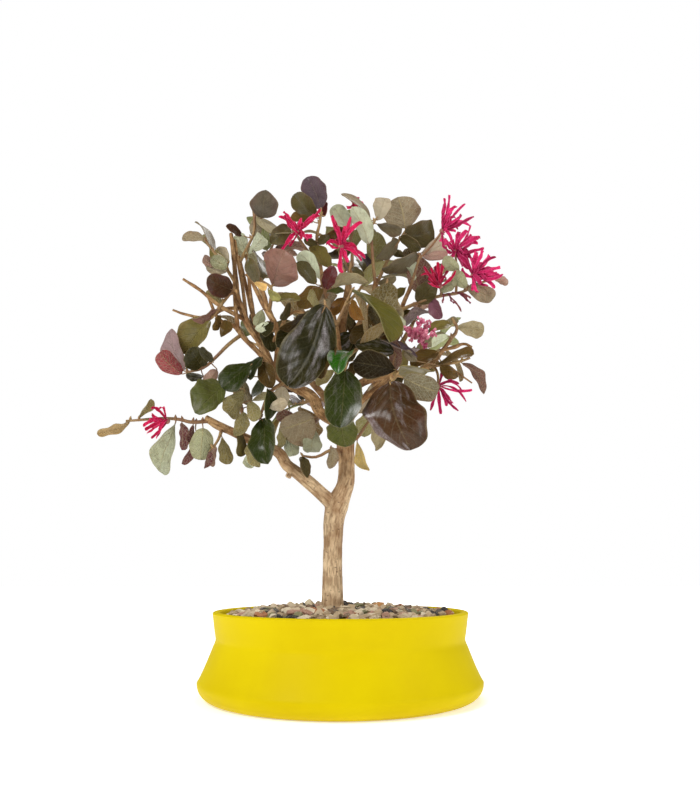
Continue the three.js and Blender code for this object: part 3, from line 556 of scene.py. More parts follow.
def scattered(kinds, name, place, size, squash, tone):
    """A copy of one of the kinds, turned, tipped and squashed, laid on the gravel."""
    piece = copy_of(luck.choice(kinds))
    piece.name = name
    turn = Matrix.Rotation(luck.uniform(0, 2 * math.pi), 4, "Z")
    tip_x = Matrix.Rotation(luck.uniform(*CHIP_TIP), 4, "X")
    tip_y = Matrix.Rotation(luck.uniform(*CHIP_TIP), 4, "Y")
    shape = Matrix.Diagonal((size, size * luck.uniform(*CHIP_WIDTH), size * squash, 1))
    piece.data.transform(Matrix.Translation(place) @ turn @ (tip_x @ tip_y) @ shape)
    dye(piece, tone)
    return piece


# %% The larger stones that stand out above the rim: across, down, back, half length in mm and tone
LARGE_SQUASH = 0.7
LARGE_STONES = [
    (250, 611, 6, 4, (176, 152, 120)), (264, 609, 8, 4.6, (196, 176, 146)),
    (279, 611, 4, 4, (130, 112, 92)), (291, 607, 4, 5, (206, 188, 156)),
    (302, 608, 4, 4.6, (180, 160, 124)), (312, 606, 4, 5.4, (212, 196, 162)),
    (345, 604, 4, 3, (70, 62, 58)), (350, 607, 6, 3.4, (62, 56, 54)), (357, 608, 8, 3.6, (74, 64, 56)),
    (367, 609, 4, 4.2, (178, 150, 124)), (378, 606, 6, 4.6, (182, 128, 70)),
    (389, 609, 6, 4.2, (160, 130, 96)), (398, 609, 4, 4, (84, 60, 44)),
    (407, 609, 8, 4.4, (116, 98, 80)), (419, 610, 8, 4.4, (170, 146, 118)),
]
strewn = []
for i, (across, down, back, size, tone) in enumerate(LARGE_STONES):
    place = at(across, down, back)
    strewn.append(scattered(chips, f"large_stone_{i}", place, size * MM, LARGE_SQUASH, paint(*tone)))
print("Larger stones:", len(strewn))

# %% The small stones, in a spiral with the trunk's foot left free
STONES = 480
STONE_LENGTH = {"low": 4, "high": 10, "mode": 6.6}
STONE_SQUASH = (0.5, 0.8)
STONE_LIFT = (-0.6, 1.4)
STONE_TONES = [
    ((198, 178, 146), 7), ((180, 156, 122), 7), ((156, 132, 102), 5), ((218, 202, 172), 5),
    ((120, 96, 72), 3), ((92, 84, 74), 2), ((62, 58, 54), 2), ((172, 112, 72), 2),
    ((132, 128, 92), 2), ((176, 134, 112), 3),
]
STONE_BAG = [paint(*tone) for tone, share in STONE_TONES for _ in range(share)]
GOLDEN_ANGLE = math.pi * (3 - math.sqrt(5))
ANGLE_SHAKE = (-0.25, 0.25)
TRUNK_FOOT = Vector((-9.3, 0)) * MM
TRUNK_ROOM = 4.2 * MM
for i in range(STONES):
    size = 0.5 * luck.triangular(**STONE_LENGTH) * MM
    reach = (GRIT_RADIUS - 1.2 * size) * math.sqrt((i + 0.5) / STONES)
    angle = i * GOLDEN_ANGLE + luck.uniform(*ANGLE_SHAKE)
    spot = Vector((reach * math.cos(angle), reach * math.sin(angle)))
    if (spot - TRUNK_FOOT).length < TRUNK_ROOM + 0.6 * size:
        continue
    height = gravel_height(reach) + luck.uniform(*STONE_LIFT) * MM * (1 - 0.7 * reach / GRIT_RADIUS)
    place = Vector((spot.x, spot.y, height))
    squash, tone = luck.uniform(*STONE_SQUASH), luck.choice(STONE_BAG)
    strewn.append(scattered(chips, f"stone_{i}", place, size, squash, tone))
print("Stones strewn:", len(strewn))

# %% Cushions of moss between the chips
MOSS_SPOTS = [
    (-52, -24), (-46, -30), (-50, 8), (-38, -38), (-20, -12), (-24, 4), (-4, -8), (3, -18), (18, -6),
    (30, -34), (44, -24), (50, 6), (38, 22), (12, 30), (-16, 34), (-34, 26), (8, 48), (26, 44), (-6, 12),
]
MOSS_GREENS = [paint(92, 92, 48), paint(78, 80, 44), paint(112, 112, 62)]
MOSS_TUFTS = 3
MOSS_SHAKE = (-4, 4)
MOSS_SIZES = (1.2, 2.4)
MOSS_SUNK = 0.3 * MM
MOSS_SQUASH = 0.5
MOSS_BUMPS = 0.7
start()
bpy.ops.mesh.primitive_ico_sphere_add(subdivisions=3, radius=1)
cushion = named("moss_cushion")
bumpy = bpy.data.textures.new("moss_bumps", "CLOUDS")
bumpy.noise_scale = 0.32
modify(cushion, "DISPLACE", texture=bumpy, strength=MOSS_BUMPS)
bpy.ops.object.shade_smooth()
for i, (x, y) in enumerate(MOSS_SPOTS):
    for j in range(MOSS_TUFTS):
        spot = Vector((x + luck.uniform(*MOSS_SHAKE), y + luck.uniform(*MOSS_SHAKE))) * MM
        place = Vector((spot.x, spot.y, gravel_height(spot.length) - MOSS_SUNK))
        size, tone = luck.uniform(*MOSS_SIZES) * MM, luck.choice(MOSS_GREENS)
        strewn.append(scattered([cushion], f"moss_{i}_{j}", place, size, MOSS_SQUASH, tone))
print("Moss cushions:", MOSS_TUFTS * len(MOSS_SPOTS))

# %% The stone and grit finishes
pebble = Finish("broken_stone", Specular_IOR_Level=0.35)
where = pebble.places()
speckle = pebble.noise(where, 1500, 4)
bands = pebble.noise(pebble.places((1, 1, 2.5)), 260, 3)
tone = pebble.attribute("tone", "Color")
shaded = pebble.blend(pebble.rise(bands, 0.35, 0.7, 0, 0.55), tone, paint(96, 80, 64), "MULTIPLY")
shaded = pebble.blend(pebble.rise(bands, 0.3, 0.8, 0.0, 0.4), tone, shaded)
pebble.colour(pebble.blend(pebble.rise(speckle, 0.56, 0.7, 0, 0.5), shaded, paint(226, 216, 200)))
pebble.rough(pebble.rise(speckle, 0.3, 0.7, 0.6, 0.85))
pebble.relief(speckle * 0.6 + bands * 0.4, 0.35 * MM)

sand = Finish("dark_grit", Roughness=0.95)
where = sand.places()
grain = sand.cells(where, 900)
sand.colour(sand.blend(sand.rise(grain, 0.1, 0.7), paint(58, 46, 36), paint(104, 86, 68)))
sand.relief(grain, 0.8 * MM)
print("Finishes made:", pebble.material.name, "and", sand.material.name)

# %% Join the gravel
for shape in chips + [cushion]:
    bpy.data.objects.remove(shape)
for stone in strewn:
    stone.data.materials.append(pebble.material)
grit.data.materials.append(sand.material)
dye(grit, paint(90, 74, 60))
gravel = joined("chips_and_moss", [grit] + strewn)
stand_for(gravel, "gravel")
print("Gravel:", triangles(gravel), "triangles")

# %% [markdown]
# ## The wood
#
# The trunk forks low down, and its left arm carries a fan of bare, pruned twigs. Each limb is a curve
# through a few places, as thick at each as its last number says. The thick limbs are made solid and
# remeshed together, so that they run into each other as grown wood does. The thin twigs stay tubes whose
# roots sit inside the limb that bears them.

# %% The limbs: across, down, back and radius in mm
LIMBS = {
    "trunk": [(332.5, 632, 0, 7.2), (332.5, 612, 0, 6.3), (332.5, 583, 0, 5.4), (333, 545, 0, 5.1),
        (334, 519, 0, 5.7), (337, 506, 0, 6.3), (342, 494, 1, 5.3), (345.5, 484, 1, 4.8),
        (346.5, 466, 2, 4.6), (345.5, 443, 2, 4.9), (345, 415, 3, 4.3), (341, 385, 4, 3.6),
        (340, 345, 6, 2.9), (346, 300, 8, 2.1), (352, 262, 8, 1.4)],
    "low_left": [(338, 512, 0, 3.4), (326, 498, -2, 3.8), (313, 486, -4, 3.7), (296, 472, -6, 3.4),
        (287, 465, -7, 3.2), (279, 453, -8, 3), (264, 446, -9, 2.7), (250, 440, -10, 2.6),
        (235, 433, -11, 2.4), (220, 426, -12, 2.2), (205, 418, -13, 2)],
    "low_left_knob": [(292, 470, -6, 1.8), (288, 477, -7, 1.6)],
    "upper_left": [(344, 427, 2, 3), (333, 421, 0, 3), (320, 412, -4, 2.9), (312, 397, -7, 3.2),
        (290, 385, -10, 2.6), (275, 372, -12, 2.5), (262, 345, -12, 2.1), (250, 328, -11, 1.9),
        (239, 302, -9, 1.7), (236, 282, -8, 1.5), (234, 260, -8, 1.4), (231, 233, -8, 1.2)],
    "fan_parallel": [(278, 375, -12, 1.7), (258, 352, -16, 1.4), (243, 337, -17, 1.3), (235, 327, -15, 1.2),
        (221, 321, -15, 1.1), (208, 297, -15, 0.8)],
    "fan_inner": [(262, 345, -12, 1.5), (252, 312, -5, 1.2), (247, 290, -3, 1.1), (239, 256, -2, 0.9)],
    "fan_outer": [(276, 374, -12, 1.7), (276, 326, -17, 1.4), (268, 310, -18, 1.3), (262, 290, -19, 1.1),
        (246, 274, -20, 0.8)],
    "bare_high": [(246, 320, -10, 1.3), (217, 304, -19, 1.1), (200, 290, -20, 0.9), (183, 279, -21, 0.7)],
    "bare_low": [(243, 309, -10, 1.2), (225, 309, -12, 1), (208, 317, -10, 0.9), (184, 314, -8, 0.8),
        (173, 310, -7, 0.6)],
    "bare_inner": [(272, 345, -15, 1.2), (280, 329, -16, 1), (292, 313, -14, 0.9), (308, 313, -12, 0.7)],
    "bare_cross": [(259, 339, -12, 1.2), (270, 330, -10, 1), (285, 334, -9, 0.8)],
    "centre_left": [(340, 348, 6, 2.1), (331, 310, 2, 1.8), (322, 278, -2, 1.5), (318, 248, -4, 1.1)],
    "centre_right": [(341, 374, 5, 2.1), (357, 330, 4, 1.8), (372, 300, 2, 1.5), (376, 278, 0, 1.2)],
    "right": [(345, 408, 3, 2.9), (355, 388, 0, 2.5), (375, 378, -4, 2.2), (396, 374, -6, 2.2),
        (428, 367, -8, 1.6), (443, 350, -8, 1.3), (453, 336, -9, 1.1)],
    "right_up": [(394, 375, -6, 1.8), (392, 350, -2, 1.7), (401, 310, 4, 1.4), (412, 284, 3, 1.1)],
    "fan_thin_1": [(238, 331, -16, 1.2), (235, 300, -12, 1.1), (234, 262, -9, 0.8)],
    "fan_thin_2": [(246, 318, -10, 1.2), (243, 290, -7, 1), (238, 262, -6, 0.9), (235, 240, -6, 0.7)],
    "fan_thin_3": [(254, 318, -6, 1.1), (250, 290, -5, 1), (247, 262, -4, 0.8), (245, 250, -4, 0.7)],
    "fan_thin_4": [(264, 350, -12, 1.3), (252, 330, -15, 1.1), (242, 306, -14, 1), (236, 290, -13, 0.8)],
    "fan_thin_5": [(273, 368, -12, 1.6), (262, 350, -9, 1.5), (256, 330, -7, 1.2), (254, 315, -6, 1.1)],
    "fan_thin_6": [(272, 320, -17, 1.3), (264, 306, -15, 1.3), (256, 290, -14, 1.2), (251, 280, -14, 0.9)],
    "right_bare": [(443, 350, -8, 1.1), (455, 347, -8, 0.9), (464, 344, -8, 0.8), (472, 347, -9, 0.6)],
    "right_bare_low": [(446, 364, -13, 0.8), (458, 373, -15, 0.6), (472, 383, -17, 0.4)],
    "front": [(345, 430, 0, 2.6), (352, 408, -14, 2.3), (346, 385, -25, 2), (339, 352, -33, 1.7),
        (336, 322, -36, 1.4)],
    "front_right": [(351, 411, -12, 1.9), (366, 397, -22, 1.7), (383, 383, -31, 1.5), (396, 371, -36, 1.2)],
    "back_left": [(345, 434, 2, 2.7), (328, 402, 13, 2.3), (302, 370, 21, 2), (280, 335, 26, 1.6),
        (268, 306, 28, 1.3)],
    "back_middle": [(343, 400, 4, 2.5), (342, 362, 15, 2.2), (345, 322, 22, 1.8), (350, 285, 26, 1.4)],
    "back_right": [(345, 424, 2, 2.7), (368, 394, 14, 2.2), (392, 360, 22, 1.8), (412, 325, 27, 1.4)],
}
limb_routes = {
    name: ([at(*place[:3]) for place in places], [place[3] * MM for place in places])
    for name, places in LIMBS.items()
}
print("Limbs:", len(limb_routes))


# %% Tubes along curves
def tubes(name, routes, roundness=2, steps=4):
    """One mesh of round stems. A route is its places and its radius at each of them."""
    start()
    bpy.ops.curve.primitive_bezier_curve_add()
    stems = named(name)
    curve = stems.data
    curve.splines.clear()
    for places, radii in routes:
        spline = curve.splines.new("BEZIER")
        spline.bezier_points.add(len(places) - 1)
        for point, place, radius in zip(spline.bezier_points, places, radii):
            point.co = place
            point.radius = radius
            point.handle_left_type = point.handle_right_type = "AUTO"
    curve.bevel_depth = 1
    curve.bevel_resolution = roundness
    curve.resolution_u = steps
    curve.use_fill_caps = True
    bpy.ops.object.convert(target="MESH")
    return bpy.context.object


# %% Thick limbs, remeshed into one grown body
THICK = 2.3 * MM
VOXEL = 0.62 * MM
thick_routes = [route for route in limb_routes.values() if max(route[1]) > THICK]
thin_routes = [route for route in limb_routes.values() if max(route[1]) <= THICK]
boughs = tubes("boughs", thick_routes, roundness=6, steps=10)
boughs.data.remesh_voxel_size = VOXEL
bpy.ops.object.voxel_remesh()
modify(boughs, "SMOOTH", factor=0.5, iterations=8)
twigs = tubes("bare_twigs", thin_routes, roundness=3, steps=8)
wood = joined("trunk_and_branches", [boughs, twigs])
print("Wood:", triangles(wood), "triangles")

# %% [markdown]
# Bark runs along the wood, and the limbs run every way. So each vertex is told where it is on its own
# limb: how far across, and how far along. Both the relief and the colour of the bark read that.


# %% Where each vertex lies on its limb
def lie_on_limbs(piece, routes):
    """For each vertex: its place across and along the nearest limb, in metres."""
    corners = corners_of(piece)
    nearest = np.full(len(corners), np.inf)
    lie = np.zeros_like(corners)
    for places, radii in routes:
        travelled = 0.0
        for first, second, radius in zip(places, places[1:], radii):
            run = second - first
            along = run.normalized()
            across = Vector((0, -1, 0.3)).cross(along).normalized()
            other = along.cross(across)
            offset = corners - np.array(first)
            share = np.clip(offset @ np.array(along), 0, run.length)
            away = offset - share[:, None] * np.array(along)
            gap = np.linalg.norm(away, axis=1) - radius
            better = gap < nearest
            nearest[better] = gap[better]
            spot = np.stack([away @ np.array(across), away @ np.array(other), travelled + share], axis=1)
            lie[better] = spot[better]
            travelled += run.length
    return lie


lie = lie_on_limbs(wood, list(limb_routes.values()))
mark(wood, "grain", "FLOAT_VECTOR", lie)
print("Longest way along a limb:", round(lie[:, 2].max() / MM), "mm")

# %% Relief of the bark: long low ridges and a few knots
from mathutils import noise as field

BARK_DEPTH = 0.28 * MM
KNOT_DEPTH = 0.9 * MM
RIDGES = np.array((900, 900, 110))
FINE_RIDGES = np.array((2600, 2600, 420))
KNOTS = 95
RARE_KNOTS = 0.25
ROUGH_FROM = 4 * MM
LEAST_ROUGH = 0.15


def bark_height(spot):
    """How far the bark stands out at a place on its limb, from about -1 to 1."""
    return 0.7 * field.noise(Vector(spot * RIDGES)) + 0.3 * field.noise(Vector(spot * FINE_RIDGES))


normals = np.empty(3 * len(wood.data.vertices))
wood.data.vertices.foreach_get("normal", normals)
corners = corners_of(wood)
ridges = np.array([bark_height(spot) for spot in lie])
knots = np.array([max(field.noise(Vector(corner) * KNOTS) - RARE_KNOTS, 0) for corner in corners])
strength = np.clip(np.hypot(lie[:, 0], lie[:, 1]) / ROUGH_FROM, LEAST_ROUGH, 1)
lift = ridges * BARK_DEPTH * strength + knots * KNOT_DEPTH
move_corners(wood, corners + normals.reshape(-1, 3) * lift[:, None])
pick(wood)
bpy.ops.object.shade_smooth()
stand_for(wood, "wood")
print("Bark relief from", round(lift.min() / MM, 2), "to", round(lift.max() / MM, 2), "mm")

# %% [markdown]
# The bark is a warm, pale tan in patches, with brown streaks along the wood and small dark scars. Higher up,
# in the crown, it is darker and greyer: partly the younger bark's own tone, partly painted shade from the
# leaves above.

# %% The bark's finish
bark = Finish("tan_bark", Specular_IOR_Level=0.25)
grain_place = bark.attribute("grain")
streak_place = bark.node("Mapping", None, {"Vector": grain_place, "Scale": (1, 1, 0.2)})
streaks = bark.noise(streak_place, 950, 5, 0.62)
patches = bark.noise(bark.places(), 90, 4)
scars = bark.cells(bark.node("Mapping", None, {"Vector": grain_place, "Scale": (1, 1, 1.8)}), 260)
scar = 1 - bark.rise(scars, 0.10, 0.22)
pale = bark.blend(bark.rise(patches, 0.35, 0.65), paint(168, 134, 98), paint(228, 200, 160))
streaked = bark.blend(bark.rise(streaks, 0.4, 0.68, 0, 0.75), pale, paint(122, 88, 56))
scarred = bark.blend(scar * 0.6, streaked, paint(82, 58, 40))
height = bark.parts(bark.places())[2]
# Painted shade: higher up, in the crown, the bark is multiplied darker and greyer in patches; in part it is
# the younger bark's own tone.
higher_up = bark.rise(height, 90 * MM, 150 * MM)
crown_patches = bark.noise(bark.places(), 210, 4, 0.7)
crown_tone_and_shade = bark.blend(bark.rise(crown_patches, 0.42, 0.62, 0, 0.55), paint(214, 196, 170), paint(122, 108, 92))
bark.colour(bark.blend(higher_up, scarred, crown_tone_and_shade, "MULTIPLY"))
bark.rough(bark.rise(streaks, 0.3, 0.7, 0.62, 0.82))
bark.relief(streaks * 0.75 + scars * 0.25, 0.5 * MM)
wood.data.materials.append(bark.material)
print("Finish made:", bark.material.name)

# %% [markdown]
# ## A leaf
#
# A loropetalum leaf is a broad oval with a smooth edge, a sunken midrib and five or six pairs of side
# veins. It is modelled flat, one unit long and one unit wide, as a grid with the veins pressed in: once
# fine, for the large leaves, and once plain. Every leaf of the tree is a copy that a formula cuts to its
# outline and lays into its own place, arched along its length and folded a little along its midrib.

# %% The outlines that leaves are cut to, and how some of them bend
CUTS = {
    "oval": (0.6, 0.5, 0), "round": (0.48, 0.46, 0.03), "paddle": (0.95, 0.45, 0.02),
    "point": (0.55, 0.72, 0), "long": (0.8, 0.8, 0), "notched": (0.62, 0.42, 0.05),
    "mitten": (0.5, 0.42, 0.03), "broad": (0.5, 0.5, 0), "sickle": (0.8, 0.8, 0),
    "ridge": (0.42, 0.5, 0), "wedge": (1.0, 0.22, 0), "kite": (0.7, 0.4, 0), "dip": (0.48, 0.46, 0),
    "lopsided": (0.55, 0.5, 0), "drooping": (1.1, 0.34, 0),
}
HABITS = {
    "mitten": {"skew": 0.18, "bow": -0.07, "fold": 0.06, "arch": -0.08, "turn": -0.16, "slant": -0.14},
    "kite": {"skew": 0.15, "fold": 0.2, "slant": 0.16},
    "lopsided": {"skew": 0.3, "turn": 0.1, "fold": 0.05},
    "drooping": {"skew": 0, "bow": -0.03, "fold": -0.1, "arch": -0.07, "turn": 0},
    "dip": {"bow": 0.17, "turn": 0},
    "broad": {"skew": 0.05, "bow": 0.05, "fold": 0.3, "arch": 0.08, "turn": 0.2},
    "ridge": {"skew": 0, "bow": 0.07, "fold": -0.46, "arch": 0.08, "turn": 0.15, "slant": 0.16},
    "sickle": {"bow": 0.22},
}


def outline(t, cut):
    """The blade's width at a share of its length, from 0 to 1. A cut has a foot, an end and a notch."""
    foot, end, _ = CUTS[cut]
    widest = foot / (foot + end)
    return (t / widest) ** foot * ((1 - t) / (1 - widest)) ** end


print("Outlines:", ", ".join(CUTS))

# %% A flat leaf, one unit long and one unit wide
BLADE = 0.36 * MM
VEIN_PAIRS = 6
VEIN_SLANT = 0.34
VEIN_WIDTH = 0.17
VEIN_PRESS = 0.7
MIDRIB_WIDTH = 0.12


def vein_press(across, along):
    """How deep the surface is pressed in, 0 to 1: across runs from 0 at the midrib to 1 at the edge."""
    phase = (along - VEIN_SLANT * across) * (VEIN_PAIRS + 1)
    off_vein = abs(phase - round(phase))
    side = math.exp(-((off_vein / VEIN_WIDTH) ** 2)) * (1 - across**3) * min(1, 4 * (1 - along))
    midrib = math.exp(-((across / MIDRIB_WIDTH) ** 2))
    return max(side * VEIN_PRESS, midrib)


def flat_grid(name, cells_across, cells_along):
    """A flat grid, one unit wide, that starts at the origin and runs one unit along Y."""
    start()
    bpy.ops.mesh.primitive_grid_add(
        x_subdivisions=cells_across, y_subdivisions=cells_along, size=1, location=(0, 0.5, 0)
    )
    grid = named(name)
    bpy.ops.object.transform_apply(location=True)
    return grid


def leaf_pattern(name, cells_across, cells_along, press):
    """The flat leaf at a chosen fineness, as a thin closed shell."""
    leaf = flat_grid(name, cells_across, cells_along)
    places = corners_of(leaf)
    for place in places:
        place[2] = -press * vein_press(abs(place[0]) * 2, place[1])
    move_corners(leaf, places)
    modify(leaf, "SOLIDIFY", thickness=BLADE, offset=0)
    smooth_below(60)
    return leaf


fine_leaf = leaf_pattern("fine_leaf", 20, 42, 0.5 * MM)
plain_leaf = leaf_pattern("plain_leaf", 10, 18, 0.18 * MM)
print("Leaf patterns:", triangles(fine_leaf), "and", triangles(plain_leaf), "triangles")

# %% [markdown]
# The two faces of a leaf differ. The upper one is glossy and dark, olive, green, bronze or maroon. The
# under one is dull and pale, grey-green or mauve, with raised veins. Each leaf has a named tone, which
# gives the colour of the face that the front view shows and of the other one, how glossy the upper face
# is, and how much maroon has crept in from its edge.

# %% Leaf tones: shown face, other face, gloss and blush
TONES = {
    "night": ((46, 42, 6), (112, 100, 66), 0.9, 0.05),
    "deep_shade": ((32, 23, 4), (100, 84, 54), 0.05, 0.05),
    "black_olive": ((50, 45, 10), (112, 98, 62), 0.5, 0.05),
    "umber": ((70, 52, 16), (104, 82, 50), 0.25, 0.1),
    "bronze": ((64, 40, 18), (132, 102, 70), 0.85, 0.2),
    "amber": ((112, 76, 28), (150, 114, 62), 0.4, 0.2),
    "ochre": ((222, 180, 112), (160, 118, 70), 0.3, 0),
    "deep_green": ((42, 52, 4), (124, 130, 88), 0.7, 0.05),
    "green": ((92, 96, 46), (142, 148, 98), 0.7, 0.05),
    "bright_green": ((38, 94, 0), (140, 160, 80), 0.8, 0),
    "dark_olive": ((90, 80, 46), (128, 120, 86), 0.5, 0.2),
    "smoke": ((120, 109, 84), (120, 106, 80), 0.35, 0.3),
    "olive": ((110, 98, 48), (150, 144, 92), 0.45, 0.15),
    "yellow_olive": ((112, 96, 10), (140, 124, 50), 0.45, 0.05),
    "olive_brown": ((106, 82, 36), (142, 120, 80), 0.45, 0.3),
    "dark_maroon": ((76, 48, 28), (140, 100, 84), 0.5, 0.4),
    "mist": ((98, 92, 36), (120, 118, 74), 0.5, 0.1),
    "maroon": ((100, 32, 34), (150, 108, 104), 0.6, 0.3),
    "plum": ((90, 74, 82), (150, 132, 136), 0.3, 0.3),
    "purple": ((134, 84, 100), (150, 110, 122), 0.3, 0.3),
    "slate": ((94, 86, 74), (150, 142, 124), 0.3, 0.3),
    "rose": ((156, 72, 76), (190, 146, 148), 0.5, 0.3),
    "sage": ((202, 207, 178), (96, 100, 62), 0.25, 0.05),
    "grey_green": ((152, 152, 118), (88, 90, 58), 0.25, 0.1),
    "pale_grey": ((184, 170, 146), (100, 90, 68), 0.25, 0.1),
    "pale_khaki": ((166, 152, 118), (100, 90, 56), 0.3, 0.1),
    "khaki": ((150, 138, 90), (96, 88, 46), 0.3, 0.15),
    "taupe": ((148, 132, 106), (90, 76, 54), 0.3, 0.35),
    "mauve": ((172, 136, 122), (94, 60, 50), 0.3, 0.4),
    "brown_mauve": ((134, 98, 86), (86, 58, 46), 0.35, 0.4),
    "wine": ((100, 52, 54), (84, 42, 42), 0.3, 0.3),
    "lilac": ((160, 134, 134), (120, 66, 70), 0.35, 0.3),
    "straw": ((206, 176, 104), (190, 154, 90), 0.15, 0),
    "dry_tan": ((172, 144, 98), (160, 130, 88), 0.1, 0),
    "lime": ((168, 162, 96), (150, 146, 80), 0.25, 0),
}
print("Leaf tones:", len(TONES))

# %% Bend a leaf into its place
LEAF_ARCH = 0.07
LEAF_FOLD = 0.16
FOLD_SOFTNESS = 0.06
END_WIDTH = 0.03
BENDS = {
    "skew": (-0.1, 0.1), "bow": (-0.05, 0.05), "fold": (-0.08, 0.3), "arch": (-0.03, 0.04),
    "turn": (-0.5, 0.5),
}
TURN_FROM = 0.35
LOBE_DEPTH = 0.05
LOBES = (1.6, 3.2)
NOD = (-0.05, 0.03)
RIPPLES = (1.2, 2.6)
RIPPLE_DEPTH = (0.03, 0.13)
whim = random.Random(20261)


def frame_of(blade):
    """A blade's length and its three directions: along, to the side and out of its upper face."""
    base, tip, width, up, roll = blade
    along = (tip - base).normalized()
    side = Matrix.Rotation(roll, 3, along) @ along.cross(up).normalized()
    return (tip - base).length, along, side, side.cross(along).normalized()


def bend(cut, what):
    """How far a leaf bends in one way: by chance, unless its cut has a habit of its own."""
    chance = whim.uniform(*BENDS[what])
    return HABITS.get(cut, {}).get(what, chance)


def bent(flat, blade, cut):
    """The flat leaf's corners, cut to the outline and laid from the blade's base to its tip."""
    length, along, side, face = frame_of(blade)
    s, z = 2 * flat[:, 0], flat[:, 2]
    row = np.clip(flat[:, 1], 0, 1)
    y = 0.5 * row + 0.25 * (1 - np.cos(math.pi * row))
    lobes = 1 + LOBE_DEPTH * np.sin(2 * math.pi * (whim.uniform(*LOBES) * y + whim.random()) + 2 * s)
    slanted = np.clip(y + HABITS.get(cut, {}).get("slant", 0) * s * np.sin(math.pi * y), 0, 1)
    half = 0.5 * blade[2] * np.maximum(outline(slanted, cut) * lobes, END_WIDTH)
    notch = CUTS[cut][2] * length * y**6 * np.exp(-((s / 0.4) ** 2))
    half = half * (1 + bend(cut, "skew") * s)
    bow = bend(cut, "bow") * length * 4 * y * (1 - y)
    valley = np.sqrt(s * s + FOLD_SOFTNESS) - FOLD_SOFTNESS**0.5
    fold = (LEAF_FOLD + bend(cut, "fold")) * half * valley
    arch = 4 * y * (1 - y) * (LEAF_ARCH + bend(cut, "arch")) * length
    nod = whim.uniform(*NOD) * length * np.sin(2 * math.pi * y)
    beat = 2 * math.pi * (whim.uniform(*RIPPLES) * y + whim.random()) + 1.3 * np.sign(s)
    ripple = whim.uniform(*RIPPLE_DEPTH) * half * s * s * np.sin(beat)
    steady = max(1 - abs(blade[4]), 0.2)
    turn = bend(cut, "turn") * steady * (y - TURN_FROM)
    wide = s * half
    out = z + fold + ripple
    across = wide * np.cos(turn) - out * np.sin(turn) + bow
    raised = wide * np.sin(turn) + out * np.cos(turn) + arch + nod
    places = np.outer(y * length - notch, along) + np.outer(across, side) + np.outer(raised, face)
    return places + np.array(blade[0])


half = len(plain_leaf.data.vertices) // 2
print("First half of the shell lies", "above" if corners_of(plain_leaf)[:half, 2].mean() > 0 else "below")

# %% Lay a leaf and give it its tone
LARGE_LEAF = 21 * MM
TOP, BACK = 1, -1
ANY_CUT = ["oval", "oval", "oval", "point", "point", "paddle", "round", "notched"]
TONE_DRIFT = (0.9, 1.3)


def lay_leaf(blade, tone, shows, cut):
    """A copy of the leaf pattern, laid from its base to its tip, bent by chance and coloured."""
    cut = cut or whim.choice(ANY_CUT)
    leaf = copy_of(fine_leaf if blade[2] > LARGE_LEAF else plain_leaf)
    flat = corners_of(leaf)
    move_corners(leaf, bent(flat, blade, cut))
    shown, other, gloss, blush = TONES[tone]
    upper, under = (shown, other) if shows == TOP else (other, shown)
    is_under = (np.arange(len(flat)) >= len(flat) // 2).astype(float)
    drift = whim.uniform(*TONE_DRIFT)
    shifted = [np.array(paint(*colour)) * (drift, drift, drift, 1) for colour in (upper, under)]
    mark(leaf, "tone", "FLOAT_COLOR", [shifted[int(which)] for which in is_under])
    nature = np.stack([np.full(len(flat), gloss), np.full(len(flat), blush), is_under], axis=1)
    mark(leaf, "nature", "FLOAT_VECTOR", nature)
    leaf.data.materials.append(skin.material)
    return leaf


# %% [markdown]
# The leaf's finish reads the pattern's own flat map, where one number runs from edge to edge and the
# other from base to tip, so that every vein lies where the model has its relief. Along the midrib and the
# side veins the colour is lighter, and between them the skin is quilted by a fine net. Painted shade
# darkens the colour in soft hollows, most on glossy upper faces. The gloss of the upper face lies in long
# streaks and breaks up over the grain, so that a large leaf doesn't look like plastic: the coat follows the
# streaks, and a painted lilac-grey highlight is laid into the colour along them.

# %% The leaf's finish
skin = Finish("leaf_skin", Specular_IOR_Level=0.07, Coat_Roughness=0.22, Coat_IOR=1.5)
flat_map = skin.node("TexCoord", output="UV")
across_map, along, _ = skin.parts(flat_map)
across = abs(across_map - 0.5) * 2
tone = skin.attribute("tone", "Color")
gloss, blush, under = skin.parts(skin.attribute("nature"))
where = skin.places()
wander = skin.noise(where, 160, 2)
phase = (along - across * VEIN_SLANT + (wander - 0.5) * 0.05) * (VEIN_PAIRS + 1)
off_vein = abs((phase + 0.5).fraction() - 0.5)
side_vein = (1 - skin.rise(off_vein, 0.02, 0.11)) * (1 - skin.rise(across, 0.75, 1.0))
midrib = 1 - skin.rise(across, 0.015, 0.06)
net = skin.cells(where, 620, "DISTANCE_TO_EDGE")
net_line = 1 - skin.rise(net, 0.02, 0.14)
mottle = skin.noise(where, 240, 5, 0.65)
blotch = skin.noise(where, 55, 3)
speck = skin.noise(where, 1300, 3, 0.6)
veins = skin.node("Math", {"operation": "MAXIMUM"}, {0: midrib, 1: side_vein * 0.6})
varied = skin.blend(skin.rise(mottle, 0.4, 0.66, 0, 0.5), tone, (0.45, 0.42, 0.38, 1), "MULTIPLY")
varied = skin.blend(skin.rise(blotch, 0.42, 0.7, 0, 0.4), varied, paint(128, 112, 60), "SOFT_LIGHT")
edge = skin.rise(across + (blotch - 0.5) * 0.9, 0.45, 1.15) * blush
blushed = skin.blend(edge * 0.75, varied, paint(96, 44, 52))
netted = skin.blend(net_line * (0.02 + under * 0.14), blushed, paint(206, 200, 176))
pale = skin.blend(side_vein * (0.04 + under * 0.2), netted, paint(200, 196, 164))
ribbed = skin.blend(midrib * (0.06 + under * 0.36), pale, paint(190, 172, 122))
rim = skin.rise(across, 0.9, 0.98)
rimmed = skin.blend(rim * 0.16, ribbed, paint(176, 160, 112))
shine = gloss * (1 - under)
